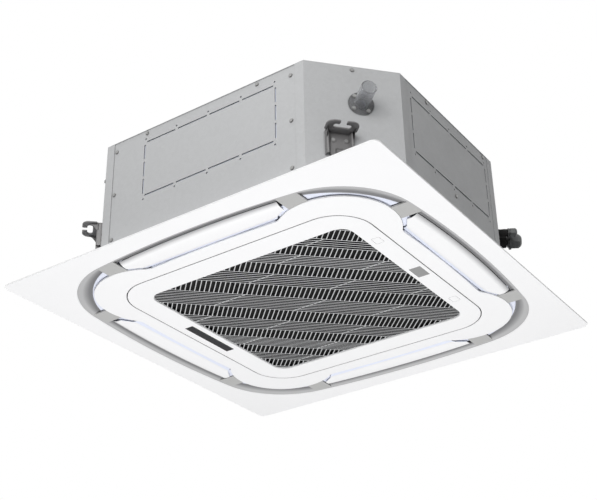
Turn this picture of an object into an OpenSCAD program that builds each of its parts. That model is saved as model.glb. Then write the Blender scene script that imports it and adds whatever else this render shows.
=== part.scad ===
// Four-way ceiling cassette air conditioner: a galvanised steel body that hangs above a ceiling
// from four brackets, with a square white panel below it. Millimetres, +Z up. z = 0 is the
// ceiling's lower face, where the panel's rim rests, and the origin is the middle of the panel.
// Everything is drawn as it hangs at rest: louvres and grille closed. The walls are named by
// compass: west is -X, south is -Y, east is +X and north is +Y.

/* [Body] */
// Side of the steel body
case_side = 840; // [830:1:850]
// Height of the body's walls
case_h = 277; // [265:1:300]
// Height of the body's lower edge above the ceiling
case_z0 = 20; // [20:0.5:24]
// Thickness of the casing sheet
sheet = 1.2; // [0.8:0.1:1.5]
// Drain corner cut, along the south wall
drain_cut_x = 152; // [144:1:160]
// Drain corner cut, along the west wall
drain_cut_y = 135; // [130:1:143]
// Pipe corner cut, along the south wall
pipe_cut_x = 282; // [270:1:290]
// Pipe corner cut, along the east wall
pipe_cut_y = 176; // [165:1:180]
// The two other corner cuts, along both walls
plain_cut = 179; // [165:1:185]
// Width of a corner sheet's flange on each wall
flange_w = 21; // [14:1:22]

/* [Hanging] */
// Pitch of the hanging rods from west to east
hook_pitch_x = 772; // [764:1:780]
// Pitch of the hanging rods from south to north
hook_pitch_y = 662; // [654:1:670]
// Middle of the rods' rectangle, north of the unit's middle
hook_mid_y = -19; // [-24:1:-14]
// Height of the hook plates' top face above the ceiling
hook_z = 129; // [112:1:150]
// Width of a hanging bracket's hook plate
hook_w = 66; // [60:1:72]
// Width of the slot for the hanging rod
hook_slot_w = 12; // [10:0.5:13]
// Length of the slot for the hanging rod
hook_slot_l = 36; // [28:1:40]

/* [Ceiling panel] */
// Side of the square panel
panel_side = 950; // [925:1:990]
// Thickness of the flat panel mouldings
panel_t = 3; // [2.6:0.1:3.2]
// Radius of the panel's corners
panel_corner_r = 16; // [6:1:40]
// Width of the grey ring's slope at mid side
slope_w = 17; // [14:0.5:19]
// Bow radius of the ring's sides
ring_bow_r = 2250; // [2100:10:2600]
// Corner radius of the ring
ring_corner_r = 187.6; // [180:0.1:195]
// Width of a strap across the air channel
strap_w = 47; // [40:1:50]

/* [Louvres] */
// Width of a louvre blade at mid side
blade_w = 50; // [48:0.5:51]
// Length of a louvre blade
blade_l = 406; // [396:1:408]
// Thickness of a louvre blade
blade_t = 2.5; // [2:0.1:2.8]
// Radius of a louvre's hinge rod
rod_r = 2.4; // [2:0.1:2.6]

/* [Intake grille] */
// Width of the panel's band between louvre recess and grille gap
centre_band = 38.5; // [36:0.5:40]
// Corner radius of the grille
grille_corner_r = 85; // [76:1:92]
// Corner radius of the grille's opening
opening_corner_r = 30; // [20:1:36]
// Grille border on the latch side
border_south = 45; // [43:0.5:47]
// Grille border on the display side
border_north = 56; // [54:0.5:58]
// Grille border at the two ends
border_ends = 57; // [50:0.5:59]
// Pitch of the lattice's cross bars
lattice_pitch = 10.5; // [9:0.1:14]
// Width of a lattice bar
lattice_bar = 2; // [1.5:0.1:3]
// Length of the display window
window_l = 158; // [120:1:180]
// Width of the display window
window_w = 22; // [18:0.5:23]
// Length of the bare badge plate
badge_l = 43; // [30:1:60]
// Width of the bare badge plate
badge_w = 27; // [20:1:30]

/* [Air path] */
// Outer radius of the fan
fan_r = 232; // [215:1:240]
// Number of fan blades
fan_blades = 7; // [5:1:9]
// Thickness of the fan's blades
fan_blade_t = 3; // [2:0.5:4]
// Radius of the inlet at the bell mouth's throat
throat_r = 182; // [165:1:188]
// Radius of the fan motor
motor_r = 70; // [60:1:72]
// Thickness of the coil
coil_t = 38; // [34:1:40]
// Height of the drain pan
pan_h = 44.6; // [42:0.1:50]

/* [Connections] */
// Outer diameter of the gas pipe
gas_pipe_d = 15.88; // [12.7:0.01:15.88]
// Outer diameter of the liquid pipe
liquid_pipe_d = 9.52; // [6.35:0.01:9.52]
// Outer diameter of the drain tube
drain_tube_d = 32; // [28:0.5:33]
// Bore of the drain tube
drain_bore_d = 27; // [24:0.5:28]
// Length of the drain tube outside the body
drain_tube_l = 58; // [40:1:80]
// Bore of the cable grommet
cable_bore_d = 22; // [12:1:24]

/* [Hidden] */
$fn = 64;

// Overrun that carries a cut past the face it opens
over = 1;
// Gap between mouldings that sit one inside the other
fit_gap = 0.3;
// Running clearance of a pin in its bore
run_gap = 0.05;
// Steps of the straight pieces that round an outline off, in degrees
side_step = 0.9;
corner_step = 4;
small_step = 15;

// Points along an arc; the last one is left out where the next arc begins on it
function arc(c, r, a0, a1, step, last = true) =
    let(n = max(1, ceil(abs(a1 - a0) / step)))
    [for (i = [0:last ? n : n - 1]) let(a = a0 + (a1 - a0) * i / n) c + r * [cos(a), sin(a)]];
function turned(p, a) = [p.x * cos(a) - p.y * sin(a), p.x * sin(a) + p.y * cos(a)];
// A whole outline from the eighth of it that runs from the north side's middle to the diagonal
function four_fold(eighth) =
    let(back = [for (i = [len(eighth) - 2:-1:1]) [eighth[i].y, eighth[i].x]])
    [for (k = [0:3]) for (p = concat(eighth, back)) turned(p, -90 * k)];
// A rounded box outline between two corners
function round_box(lo, hi, r) = concat(
    arc([hi.x - r, hi.y - r], r, 0, 90, small_step),
    arc([lo.x + r, hi.y - r], r, 90, 180, small_step),
    arc([lo.x + r, lo.y + r], r, 180, 270, small_step),
    arc([hi.x - r, lo.y + r], r, 270, 360, small_step));
function round_square(half, r) = four_fold(concat(
    [[0, half]], arc([half - r, half - r], r, 90, 45, corner_step)));
// A square with bowed sides and tangent corner arcs
function bow_centre(mid, bow, corner) =
    let(a = bow - mid, k = a * a - (bow - corner) * (bow - corner))
    (sqrt(a * a - 2 * k) - a) / 2;
function bowed_square(mid, bow, corner) =
    let(a = bow - mid, c = bow_centre(mid, bow, corner), side = atan2(c, c + a))
    four_fold(concat(
        arc([0, -a], bow, 90, 90 - side, side_step, false),
        arc([c, c], corner, 90 - side, 45, corner_step)));
// Where two circles cross, on the left of the line from p to q
function circle_meet(p, a, q, b) =
    let(v = q - p, d = norm(v), x = (a * a - b * b + d * d) / (2 * d), y = sqrt(a * a - x * x))
    p + x * v / d + y * [-v.y, v.x] / d;
function angle_to(p, q) = atan2(q.y - p.y, q.x - p.x);

// The body's plan: eight corners, counter-clockwise from the west wall's south end. Its edges
// are 0 drain corner, 1 south, 2 pipe corner, 3 east, 4 wiring corner, 5 north, 6 plain corner
// and 7 west.
half = case_side / 2;
case_points = [
    [-half, -half + drain_cut_y], [-half + drain_cut_x, -half],
    [half - pipe_cut_x, -half], [half, -half + pipe_cut_y],
    [half, half - plain_cut], [half - plain_cut, half],
    [-half + plain_cut, half], [-half, half - plain_cut]];
function edge_v(i) = case_points[(i + 1) % 8] - case_points[i];
function edge_l(i) = norm(edge_v(i));
function edge_dir(i) = edge_v(i) / edge_l(i);
function inward(i) = [-edge_dir(i).y, edge_dir(i).x];
function case_inset(d) = [for (i = [0:7])
    let(n = inward((i + 7) % 8), m = inward(i)) case_points[i] + d * (n + m) / (1 + n * m)];
// Places a child on an edge: local x runs along it and local y points into the body
module at_edge(i, s, z) {
    translate([case_points[i].x, case_points[i].y, z])
    rotate(atan2(edge_dir(i).y, edge_dir(i).x))
    translate([s, 0, 0]) children();
}
// Repeats a child of the north side on all four sides
module four_sides() for (k = [0:3]) rotate(-90 * k) children();

// Body heights
case_top = case_z0 + case_h;
wall_h = case_h - sheet;
// What the wall sheets, their lap and a gap take up inside the body's outline
wall_in = 2 * sheet + fit_gap;

// Air ducts and panel outlines, measured from the middle of the unit at mid side
duct_margin = 12;
duct_out = half - duct_margin;
slope_gap = 4;
lip_mid = duct_out + slope_gap;
ring_mid = lip_mid + slope_w;
blade_gap = 3;
blade_out = lip_mid - blade_gap;
blade_in = blade_out - blade_w;
recess_gap = 9;
recess_mid = blade_in - recess_gap;
duct_in = blade_in - fit_gap;
pivot_in = 2;
pivot_y = blade_in + pivot_in;
pivot_z = 7;
recess_bow_r = 3400;
// Corner discs of the centre plate, and the fillets between them and the recesses
disc_in = 105;
disc_at = recess_mid - disc_in;
disc_r = 128;
disc_fillet_r = 20;
lip_corner_r = 225;
function ring_outline(d) = bowed_square(ring_mid - d, ring_bow_r - d, ring_corner_r - d);
function lip_outline(d) =
    bowed_square(lip_mid - d, ring_bow_r - slope_w - d, lip_corner_r - d);
function plate_outline(d) =
    let(s = [0, recess_mid - recess_bow_r], c = [disc_at, disc_at],
        f = circle_meet(s, recess_bow_r + disc_fillet_r, c, disc_r + disc_fillet_r))
    four_fold(concat(
        arc(s, recess_bow_r + d, 90, angle_to(s, f), side_step, false),
        arc(f, disc_fillet_r - d, angle_to(f, s), angle_to(f, c), small_step / 2, false),
        arc(c, disc_r + d, angle_to(c, f), 45, corner_step)));

// Straps across the channel
strap_inset = 36;
strap_x = disc_at - strap_inset;
strap_t = 3;
strap_drop = 2;

// Panel heights
face_z = -panel_t;
liner_z = 12;
liner_t = 6;
liner_top = liner_z + liner_t;

// Grille
grille_gap = 2.5;
hole_half = recess_mid - centre_band;
grille_half = hole_half - grille_gap;
open_lo = [-grille_half + border_ends, -grille_half + border_south];
open_hi = [grille_half - border_ends, grille_half - border_north];
ridge_gap = 1.5;
ridge_t = 3;
ridge_half = hole_half + ridge_gap;
hole_r = grille_corner_r + grille_gap;
ridge_r = hole_r + ridge_gap;

// The opening of the body's underside: bowed in at the corners to leave gussets
under_gap = 5;
under_half = ridge_half + under_gap;
under_corner_r = 190;
// Slots of the air ducts in the body, kept inside the walls
slot_half = blade_l / 2 + blade_gap;
slot_wall = 9;
module duct_slots(d) {
    intersection() {
        four_sides() translate([-slot_half + d, duct_in + d])
            square([2 * slot_half - 2 * d, duct_out - duct_in - 2 * d]);
        polygon(case_inset(wall_in + slot_wall));
    }
}

// Casing screws: small hexagon-head sheet screws with a washer face
screw_head_r = 3.9;
screw_head_h = 2.4;
screw_washer_r = 4.7;
screw_washer_t = 0.8;
screw_r = 1.9;
screw_hole_r = 2.1;
// Places of a wall's screws, as shares of its length and height
wall_screw_shares = [
    [[0.27, 0.972], [0.9, 0.972], [0.52, 0.315]],
    [[0.06, 0.917], [0.06, 0.515], [0.06, 0.112], [0.94, 0.917], [0.94, 0.515],
        [0.94, 0.112], [0.22, 0.972], [0.78, 0.972]],
    [[0.27, 0.972], [0.9, 0.972], [0.52, 0.315]],
    [[0.053, 0.917], [0.053, 0.515], [0.053, 0.112], [0.94, 0.917], [0.94, 0.515],
        [0.94, 0.112], [0.218, 0.972], [0.78, 0.972]]];
// Places of a corner's screws, as shares of its length and height
corner_screw_shares = [[0.5, 0.97]];
function wall_of(i) = (i - 1) / 2;
function wall_screws(i) = [for (s = wall_screw_shares[wall_of(i)])
    [s.x * edge_l(i), case_z0 + s.y * wall_h]];
function corner_screws(i) = [for (s = corner_screw_shares)
    [s.x * edge_l(i), case_z0 + s.y * wall_h]];

// Knock-outs for branch ducts: an outline of dashes with a small hole outside each bridge
knock_start_w = 68;
knock_start_s = 40;
knock_end_w = 108;
knock_end_s = 33;
knock_z0 = 128.5;
knock_top_gap = 33;
knock_h = case_top - knock_top_gap - knock_z0;
knock_slot = 3.5;
knock_bridge = 7.5;
knock_dot_r = 2.1;
knock_dot_out = 7;
function knock_lo(i) = i == 1 ? knock_start_s : i == 7 ? knock_end_w : knock_start_w;
function knock_hi(i) = edge_l(i) - (i == 1 ? knock_end_s : knock_start_w);
module dashes(l, n) {
    dash = (l - (n + 1) * knock_bridge) / n;
    for (k = [0:n - 1]) translate([knock_bridge + k * (dash + knock_bridge), 0])
        square([dash, knock_slot]);
}
module knock_out(i) {
    lo = knock_lo(i);
    l = knock_hi(i) - lo;
    translate([lo, knock_z0]) {
        dashes(l, 4);
        translate([0, knock_h]) dashes(l, 4);
        translate([knock_slot, 0]) rotate(90) dashes(knock_h + knock_slot, 3);
        translate([l, 0]) rotate(90) dashes(knock_h + knock_slot, 3);
        for (k = [0:4]) for (z = [-knock_dot_out, knock_h + knock_slot + knock_dot_out])
            translate([knock_slot + k * (l - 2 * knock_slot) / 4, z]) circle(knock_dot_r);
    }
}

module wall_plate(i, s0, s1) {
    at_edge(i, 0, 0) translate([0, 2 * sheet, 0]) rotate([90, 0, 0]) linear_extrude(sheet)
        difference() {
            translate([s0, case_z0]) square([s1 - s0, wall_h]);
            knock_out(i);
            for (p = wall_screws(i)) translate(p) circle(screw_hole_r);
        }
}
// Gap between a side panel's end and the corner of the body's outline
lap_gap = 2;
module side_panel(i) color("gainsboro") wall_plate(i, lap_gap, edge_l(i) - lap_gap);

// Fittings on the corner sheets: place along the corner, and height
drain_s = 117;
drain_z = 205;
drain_hole_r = 13;
gas_s = 90;
liquid_s = 50;
pipe_z = 137;
grommet_z = 100;
grommet_r = 17;
grommet_neck_r = 14.5;
grommet_gap = 15;
function grommet_s() = hook_s(4) + hook_leg_w / 2 + grommet_gap + grommet_r;
hook_at = [hook_pitch_x / 2, hook_pitch_y / 2];
function hook_point(i) = [i == 0 || i == 6 ? -hook_at.x : hook_at.x,
    hook_mid_y + (i == 0 || i == 2 ? -hook_at.y : hook_at.y)];
function hook_s(i) = (hook_point(i) - case_points[i]) * edge_dir(i);
function hook_out(i) = -(hook_point(i) - case_points[i]) * inward(i);
bracket_screw_drop = 20;
bracket_screw_pitch = 26;
pipe_foam_r = 15;
liquid_foam_r = 9;

// A corner sheet and the two flanges that lap over the walls beside it
module corner_sheet(i) {
    prev = (i + 7) % 8;
    next = (i + 1) % 8;
    a = case_points[i] - flange_w * edge_dir(prev);
    b = case_points[next] + flange_w * edge_dir(next);
    inner = case_inset(sheet);
    linear_extrude(wall_h) polygon([a, case_points[i], case_points[next], b,
        b + sheet * inward(next), inner[next], inner[i], a + sheet * inward(prev)]);
}
module through_wall(s, z, r, i) at_edge(i, s, z) rotate([90, 0, 0])
    translate([0, 0, -wall_in - over]) cylinder(r = r, h = wall_in + 2 * over);
module corner_panel(i) {
    difference() {
        translate([0, 0, case_z0]) corner_sheet(i);
        for (p = corner_screws(i)) through_wall(p.x, p.y, screw_hole_r, i);
        for (k = [-1, 1]) through_wall(hook_s(i) + k * bracket_screw_pitch / 2,
            hook_z - bracket_screw_drop, screw_hole_r, i);
        children();
    }
}
drain_screw_r = drain_tube_d / 2 + screw_washer_r + fit_gap;
drain_flange_r = drain_screw_r + screw_washer_r + over;
drain_screw_turns = [40, 130, 220, 310];
module drain_corner_panel() color("silver") corner_panel(0) {
    through_wall(drain_s, drain_z, drain_hole_r + fit_gap, 0);
    for (a = drain_screw_turns) through_wall(drain_s + drain_screw_r * cos(a),
        drain_z + drain_screw_r * sin(a), screw_hole_r, 0);
}
module pipe_corner_panel() color("dimgray") corner_panel(2) {
    through_wall(gas_s, pipe_z, pipe_foam_r + fit_gap, 2);
    through_wall(liquid_s, pipe_z, liquid_foam_r + fit_gap, 2);
}
module wiring_corner_panel() color("silver") corner_panel(4)
    through_wall(grommet_s(), grommet_z, grommet_neck_r + run_gap, 4);
module plain_corner_panel() color("silver") corner_panel(6);

// The top sheet, with a flange that the walls are screwed to, and the motor's bolt holes
top_flange_h = 16;
motor_feet = 3;
motor_foot_r = 86;
motor_bolt_r = 3;
module flange_strip(h) linear_extrude(h) difference() {
    polygon(case_inset(wall_in));
    polygon(case_inset(wall_in + sheet));
}
module at_motor_feet(z) for (k = [0:motor_feet - 1])
    rotate(k * 360 / motor_feet) translate([motor_foot_r, 0, z]) children();
module wall_screw_holes() {
    for (i = [1, 3, 5, 7]) for (p = wall_screws(i)) deep_hole(i, p);
    for (i = [0, 2, 4, 6]) for (p = corner_screws(i)) deep_hole(i, p);
}
module deep_hole(i, p) at_edge(i, p.x, p.y) rotate([90, 0, 0])
    translate([0, 0, -wall_in - sheet - over]) cylinder(r = screw_hole_r, h = wall_in + sheet + over);
module top_plate() color("silver") difference() {
    union() {
        translate([0, 0, case_top - sheet]) linear_extrude(sheet) polygon(case_points);
        translate([0, 0, case_top - sheet - top_flange_h]) flange_strip(top_flange_h + sheet / 2);
    }
    at_motor_feet(case_top - sheet - over) cylinder(r = motor_bolt_r + run_gap, h = sheet + 2 * over);
    wall_screw_holes();
}

module screw_head() {
    cylinder(r = screw_washer_r, h = screw_washer_t);
    cylinder(r = screw_head_r, h = screw_head_h, $fn = 6);
}
// A screw on an edge's face: y0 is how far its seat lies inside the outline
module edge_screw(i, s, z, y0) at_edge(i, s, z) translate([0, y0, 0]) rotate([90, 0, 0]) {
    screw_head();
    translate([0, 0, y0 - wall_in - sheet]) cylinder(r = screw_r, h = wall_in + sheet - y0);
}
motor_bolt_head_r = 6.5;
motor_bolt_head_h = 4;
module casing_screws() color("gray") {
    for (i = [1, 3, 5, 7]) for (p = wall_screws(i)) edge_screw(i, p.x, p.y, sheet);
    for (i = [0, 2, 4, 6]) {
        for (p = corner_screws(i)) edge_screw(i, p.x, p.y, 0);
        for (k = [-1, 1]) edge_screw(i, hook_s(i) + k * bracket_screw_pitch / 2,
            hook_z - bracket_screw_drop, -hook_t);
    }
    for (a = drain_screw_turns) edge_screw(0, drain_s + drain_screw_r * cos(a),
        drain_z + drain_screw_r * sin(a), -drain_flange_t);
    at_motor_feet(case_top) {
        cylinder(r = motor_bolt_head_r, h = motor_bolt_head_h, $fn = 6);
        translate([0, 0, -sheet - mount_h - motor_foot_t])
            cylinder(r = motor_bolt_r, h = sheet + mount_h + motor_foot_t);
    }
}

// Hanging bracket: a plate on the corner sheet, bent out into a hook plate with a C slot whose
// mouth opens outwards for the hanging rod
hook_t = 2.5;
hook_tip = 17;
hook_corner_r = 15;
hook_mouth = 13;
hook_leg_w = 58;
hook_leg_h = 56;
hook_rib_d = 12;
hook_tab_w = 14;
hook_tab_h = 10;
module hanger(i) color("dimgray") at_edge(i, hook_s(i), 0) {
    out = hook_out(i);
    difference() {
        translate([0, 0, hook_z - hook_t]) linear_extrude(hook_t) difference() {
            union() {
                translate([-hook_leg_w / 2, -out]) square([hook_leg_w, out]);
                polygon(round_box([-hook_w / 2, -out - hook_tip],
                    [hook_w / 2, -out + hook_tip - hook_t], hook_corner_r));
            }
            polygon(round_box([-hook_slot_l / 2, -out - hook_slot_w / 2],
                [hook_slot_l / 2, -out + hook_slot_w / 2], hook_slot_w / 2 - fit_gap));
            translate([-hook_mouth / 2, -out - hook_tip - over])
                square([hook_mouth, hook_tip + over]);
        }
    }
    difference() {
        translate([-hook_leg_w / 2, -hook_t, hook_z - hook_leg_h])
            cube([hook_leg_w, hook_t, hook_leg_h - hook_t / 2]);
        for (k = [-1, 1]) translate([k * bracket_screw_pitch / 2, over, hook_z - bracket_screw_drop])
            rotate([90, 0, 0]) cylinder(r = screw_hole_r, h = hook_t + 2 * over);
        translate([-hook_tab_w / 2, -hook_t - over, hook_z - hook_leg_h - over])
            cube([hook_tab_w, hook_t + 2 * over, hook_tab_h + over]);
    }
    for (k = [-1, 1]) translate([k * (hook_leg_w - hook_t) / 2 - hook_t / 2, 0, 0])
        rotate([90, 0, 90]) linear_extrude(hook_t) polygon([
            [-hook_t / 2, hook_z - hook_leg_h], [-hook_rib_d, hook_z - hook_leg_h],
            [-hook_rib_d, hook_z - bracket_screw_drop], [-out + hook_slot_w, hook_z - hook_t / 2],
            [-hook_t / 2, hook_z - hook_t / 2]]);
}

// Bottom frame: a sheet ring with an upturned flange; the panel is screwed to its gussets
base_flange_h = 14;
panel_screw_in = 14;
panel_screw_at = (ridge_half - ridge_r) * sqrt(2) + ridge_r - panel_screw_in;
panel_screw_r = 2.5;
module at_panel_screws(z) for (k = [0:3]) rotate(45 + 90 * k)
    translate([panel_screw_at, 0, z]) children();
module base_frame() color("silver") difference() {
    union() {
        translate([0, 0, case_z0]) linear_extrude(sheet) difference() {
            polygon(case_inset(wall_in));
            polygon(round_square(under_half, under_corner_r));
            duct_slots(0);
        }
        translate([0, 0, case_z0 + sheet / 2]) flange_strip(base_flange_h);
    }
    at_panel_screws(case_z0 - over) cylinder(r = panel_screw_r + fit_gap, h = sheet + 2 * over);
    wall_screw_holes();
}

// Foam lining of the walls
foam_t = 8;
foam_in = wall_in + sheet + fit_gap;
pan_z0 = case_z0 + sheet;
pan_top = pan_z0 + pan_h;
foam_top_gap = 2;
module lining_hole(i, s, z, r) at_edge(i, s, z) rotate([90, 0, 0])
    translate([0, 0, -foam_in - foam_t - over]) cylinder(r = r, h = foam_t + 2 * over);
module casing_insulation() color("lightsteelblue") difference() {
    translate([0, 0, pan_top]) linear_extrude(case_top - sheet - foam_top_gap - pan_top) difference() {
        polygon(case_inset(foam_in));
        polygon(case_inset(foam_in + foam_t));
    }
    lining_hole(0, drain_s, drain_z, drain_hole_r + fit_gap);
    lining_hole(2, gas_s, pipe_z, gas_pipe_d / 2 + fit_gap);
    lining_hole(2, liquid_s, pipe_z, liquid_pipe_d / 2 + fit_gap);
    lining_hole(4, grommet_s(), grommet_z, grommet_neck_r + fit_gap);
}

// Coil: a finned block bent round the fan, open at the pipe corner
coil_gap = 22;
coil_out = duct_in - coil_gap;
coil_in = coil_out - coil_t;
coil_corner_r = 150;
coil_south_end = 100;
coil_east_end = -200;
trough_gap = 9;
trough_in_gap = 6;
trough_floor = 12.6;
coil_z0 = pan_z0 + trough_floor;
coil_top_gap = 21;
coil_top = case_top - coil_top_gap;
module coil_plan() difference() {
    polygon(round_square(coil_out, coil_corner_r));
    polygon(round_square(coil_in, coil_corner_r - coil_t));
    translate([coil_south_end, -coil_out - over])
        square([coil_out + over - coil_south_end, coil_out + over + coil_east_end]);
}
module coil_fins() color("lightgray") translate([0, 0, coil_z0])
    linear_extrude(coil_top - coil_z0) coil_plan();
end_plate_t = 1.5;
end_plate_lip = 2;
module coil_end_plates() color("silver") {
    translate([coil_south_end, -coil_out - end_plate_lip, coil_z0])
        cube([end_plate_t, coil_t + 2 * end_plate_lip, coil_top - coil_z0]);
    translate([coil_in - end_plate_lip, coil_east_end - end_plate_t, coil_z0])
        cube([coil_t + 2 * end_plate_lip, end_plate_t, coil_top - coil_z0]);
}
// Copper work at the coil's ends: two rows of tubes, bends at one end and two headers at the other
tube_r = 4;
tube_rows = 8;
tube_z0 = 48;
tube_pitch = 26;
row_pitch = 19;
row_out = coil_out - (coil_t - row_pitch) / 2;
row_in = row_out - row_pitch;
gas_header_r = 9;
liquid_header_r = 6;
header_over = 12;
header_z0 = tube_z0 - header_over;
header_h = (tube_rows - 1) * tube_pitch + 2 * header_over;
// How far the pipes run in from the corner sheet to meet the header that stands in a tube row
function pipe_in(s, row) =
    (-row - case_points[2].y - s * edge_dir(2).y) / inward(2).y;
gas_in = pipe_in(gas_s, row_out);
liquid_in = pipe_in(liquid_s, row_in);
function on_pipe(s, y) = case_points[2] + s * edge_dir(2) + y * inward(2);
gas_header_at = on_pipe(gas_s, gas_in);
liquid_header_at = on_pipe(liquid_s, liquid_in);
module coil_tubes() color("chocolate") {
    for (k = [0:tube_rows - 1]) translate([0, 0, tube_z0 + k * tube_pitch]) {
        translate([coil_south_end + end_plate_t, -row_out, 0]) rotate([0, 90, 0])
            cylinder(r = tube_r, h = gas_header_at.x - coil_south_end - end_plate_t);
        translate([coil_south_end + end_plate_t, -row_in, 0]) rotate([0, 90, 0])
            cylinder(r = tube_r, h = liquid_header_at.x - coil_south_end - end_plate_t);
        translate([(row_out + row_in) / 2, coil_east_end - end_plate_t, 0]) rotate(180)
            rotate_extrude(angle = 180) translate([row_pitch / 2, 0]) circle(tube_r);
    }
    translate([gas_header_at.x, gas_header_at.y, header_z0]) cylinder(r = gas_header_r, h = header_h);
    translate([liquid_header_at.x, liquid_header_at.y, header_z0])
        cylinder(r = liquid_header_r, h = header_h);
}

// Refrigerant connections: pipe, union shoulder and threaded nose, with the flare nut on it
gas_shoulder_at = 34;
gas_shoulder_r = 19;
gas_shoulder_t = 4;
gas_nose_r = 11.8;
gas_nose_l = 12;
gas_nut_af = 32;
gas_nut_l = 32;
gas_nut_bore_l = 14;
liquid_shoulder_at = 28;
liquid_shoulder_r = 10.5;
liquid_shoulder_t = 2;
liquid_nose_r = 7;
liquid_nose_l = 9;
liquid_nut_af = 20;
liquid_nut_l = 18;
liquid_nut_bore_l = 8;
nut_gap = 0.2;
module on_pipe_axis(s) at_edge(2, s, pipe_z) rotate([90, 0, 0]) children();
// z runs outwards from the corner sheet; the saddle that meets the header is cut to its round
module union_pipe(pipe_r, from, header_r, shoulder_at, shoulder_r, shoulder_t, nose_r, nose_l)
    difference() {
        union() {
            translate([0, 0, -from]) cylinder(r = pipe_r, h = from + shoulder_at + shoulder_t / 2);
            translate([0, 0, shoulder_at]) cylinder(r = shoulder_r, h = shoulder_t);
            translate([0, 0, shoulder_at + shoulder_t / 2])
                cylinder(r = nose_r, h = nose_l + shoulder_t / 2);
        }
        translate([0, 0, -from]) rotate([90, 0, 0])
            cylinder(r = header_r + run_gap, h = 2 * header_r, center = true);
    }
// Hexagon nut with a wide threaded mouth inside and a bore for the field pipe at its outer end
module flare_nut(af, l, mouth_r, mouth_l, bore_r) difference() {
    intersection() {
        cylinder(r = af / sqrt(3), h = l, $fn = 6);
        rotate_extrude() polygon([[0, 0], [af / sqrt(3), 0], [af / sqrt(3), l - nut_chamfer],
            [af / 2 - nut_chamfer / 2, l], [0, l]]);
    }
    translate([0, 0, -over]) cylinder(r = mouth_r, h = mouth_l + over);
    cylinder(r = bore_r, h = l + over);
}
nut_chamfer = 3;
module gas_pipe() color("peru") on_pipe_axis(gas_s) union_pipe(gas_pipe_d / 2, gas_in,
    gas_header_r, gas_shoulder_at, gas_shoulder_r, gas_shoulder_t, gas_nose_r, gas_nose_l);
module liquid_pipe() color("peru") on_pipe_axis(liquid_s) union_pipe(liquid_pipe_d / 2, liquid_in,
    liquid_header_r, liquid_shoulder_at, liquid_shoulder_r, liquid_shoulder_t, liquid_nose_r,
    liquid_nose_l);
module gas_flare_nut() color("dimgray") on_pipe_axis(gas_s)
    translate([0, 0, gas_shoulder_at + gas_shoulder_t + nut_gap])
        flare_nut(gas_nut_af, gas_nut_l, gas_nose_r + run_gap, gas_nut_l - gas_nut_bore_l,
            gas_pipe_d / 2 + run_gap);
module liquid_flare_nut() color("dimgray") on_pipe_axis(liquid_s)
    translate([0, 0, liquid_shoulder_at + liquid_shoulder_t + nut_gap])
        flare_nut(liquid_nut_af, liquid_nut_l, liquid_nose_r + run_gap,
            liquid_nut_l - liquid_nut_bore_l, liquid_pipe_d / 2 + run_gap);
// Black foam plate on the corner sheet, with a sleeve on each pipe
pipe_foam_t = 4;
pipe_foam_margin = 9;
module pipe_foam() color("black") {
    difference() {
        union() {
            at_edge(2, 0, pipe_z) rotate([90, 0, 0]) linear_extrude(pipe_foam_t)
                polygon(round_box(
                    [liquid_s - liquid_foam_r - pipe_foam_margin, -pipe_foam_r - pipe_foam_margin],
                    [gas_s + pipe_foam_r + pipe_foam_margin, pipe_foam_r + pipe_foam_margin],
                    pipe_foam_margin));
            on_pipe_axis(gas_s) translate([0, 0, -wall_in])
                cylinder(r = pipe_foam_r, h = gas_shoulder_at + wall_in);
            on_pipe_axis(liquid_s) translate([0, 0, -wall_in])
                cylinder(r = liquid_foam_r, h = liquid_shoulder_at + wall_in);
        }
        on_pipe_axis(gas_s) translate([0, 0, -wall_in - over])
            cylinder(r = gas_pipe_d / 2 + run_gap, h = gas_shoulder_at + wall_in + 2 * over);
        on_pipe_axis(liquid_s) translate([0, 0, -wall_in - over])
            cylinder(r = liquid_pipe_d / 2 + run_gap, h = liquid_shoulder_at + wall_in + 2 * over);
    }
}

// Drain pan: a foam tray with four duct slots, a trough under the coil and a sump at one corner
pan_open_gap = 14;
pan_open = coil_in - pan_open_gap;
pan_open_r = coil_corner_r - coil_t - pan_open_gap;
sump_s0 = 32;
sump_s1 = 136;
sump_y0 = 15;
sump_y1 = 74;
sump_floor = 8.6;
nut_pocket_r = 9;
nut_pocket_h = 6;
module drain_pan() color("lavender") difference() {
    translate([0, 0, pan_z0]) linear_extrude(pan_h) difference() {
        polygon(case_inset(foam_in));
        polygon(round_square(pan_open, pan_open_r));
        duct_slots(0);
    }
    translate([0, 0, pan_z0 + trough_floor]) linear_extrude(pan_h) difference() {
        polygon(round_square(coil_out + trough_gap, coil_corner_r + trough_gap));
        polygon(round_square(coil_in - trough_in_gap, coil_corner_r - coil_t - trough_in_gap));
    }
    at_edge(0, sump_s0, pan_z0 + sump_floor) translate([0, sump_y0, 0])
        cube([sump_s1 - sump_s0, sump_y1 - sump_y0, pan_h]);
    at_panel_screws(pan_z0 - over) cylinder(r = nut_pocket_r, h = nut_pocket_h + over);
}

// Bell mouth: a plate inside the pan's opening, a skirt and a flared throat
bell_t = 2.5;
bell_z = 58;
bell_skirt_h = 26;
bell_flare = 32;
bell_rise = 42;
module bell_mouth() color("gray") {
    half_in = pan_open - fit_gap;
    translate([0, 0, bell_z]) linear_extrude(bell_t) difference() {
        polygon(round_square(half_in, pan_open_r - fit_gap));
        circle(throat_r + bell_flare - 2 * bell_t);
    }
    translate([0, 0, bell_z - bell_skirt_h]) linear_extrude(bell_skirt_h + bell_t / 2) difference() {
        polygon(round_square(half_in, pan_open_r - fit_gap));
        polygon(round_square(half_in - bell_t, pan_open_r - fit_gap - bell_t));
    }
    rotate_extrude() polygon(bell_profile);
}
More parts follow.
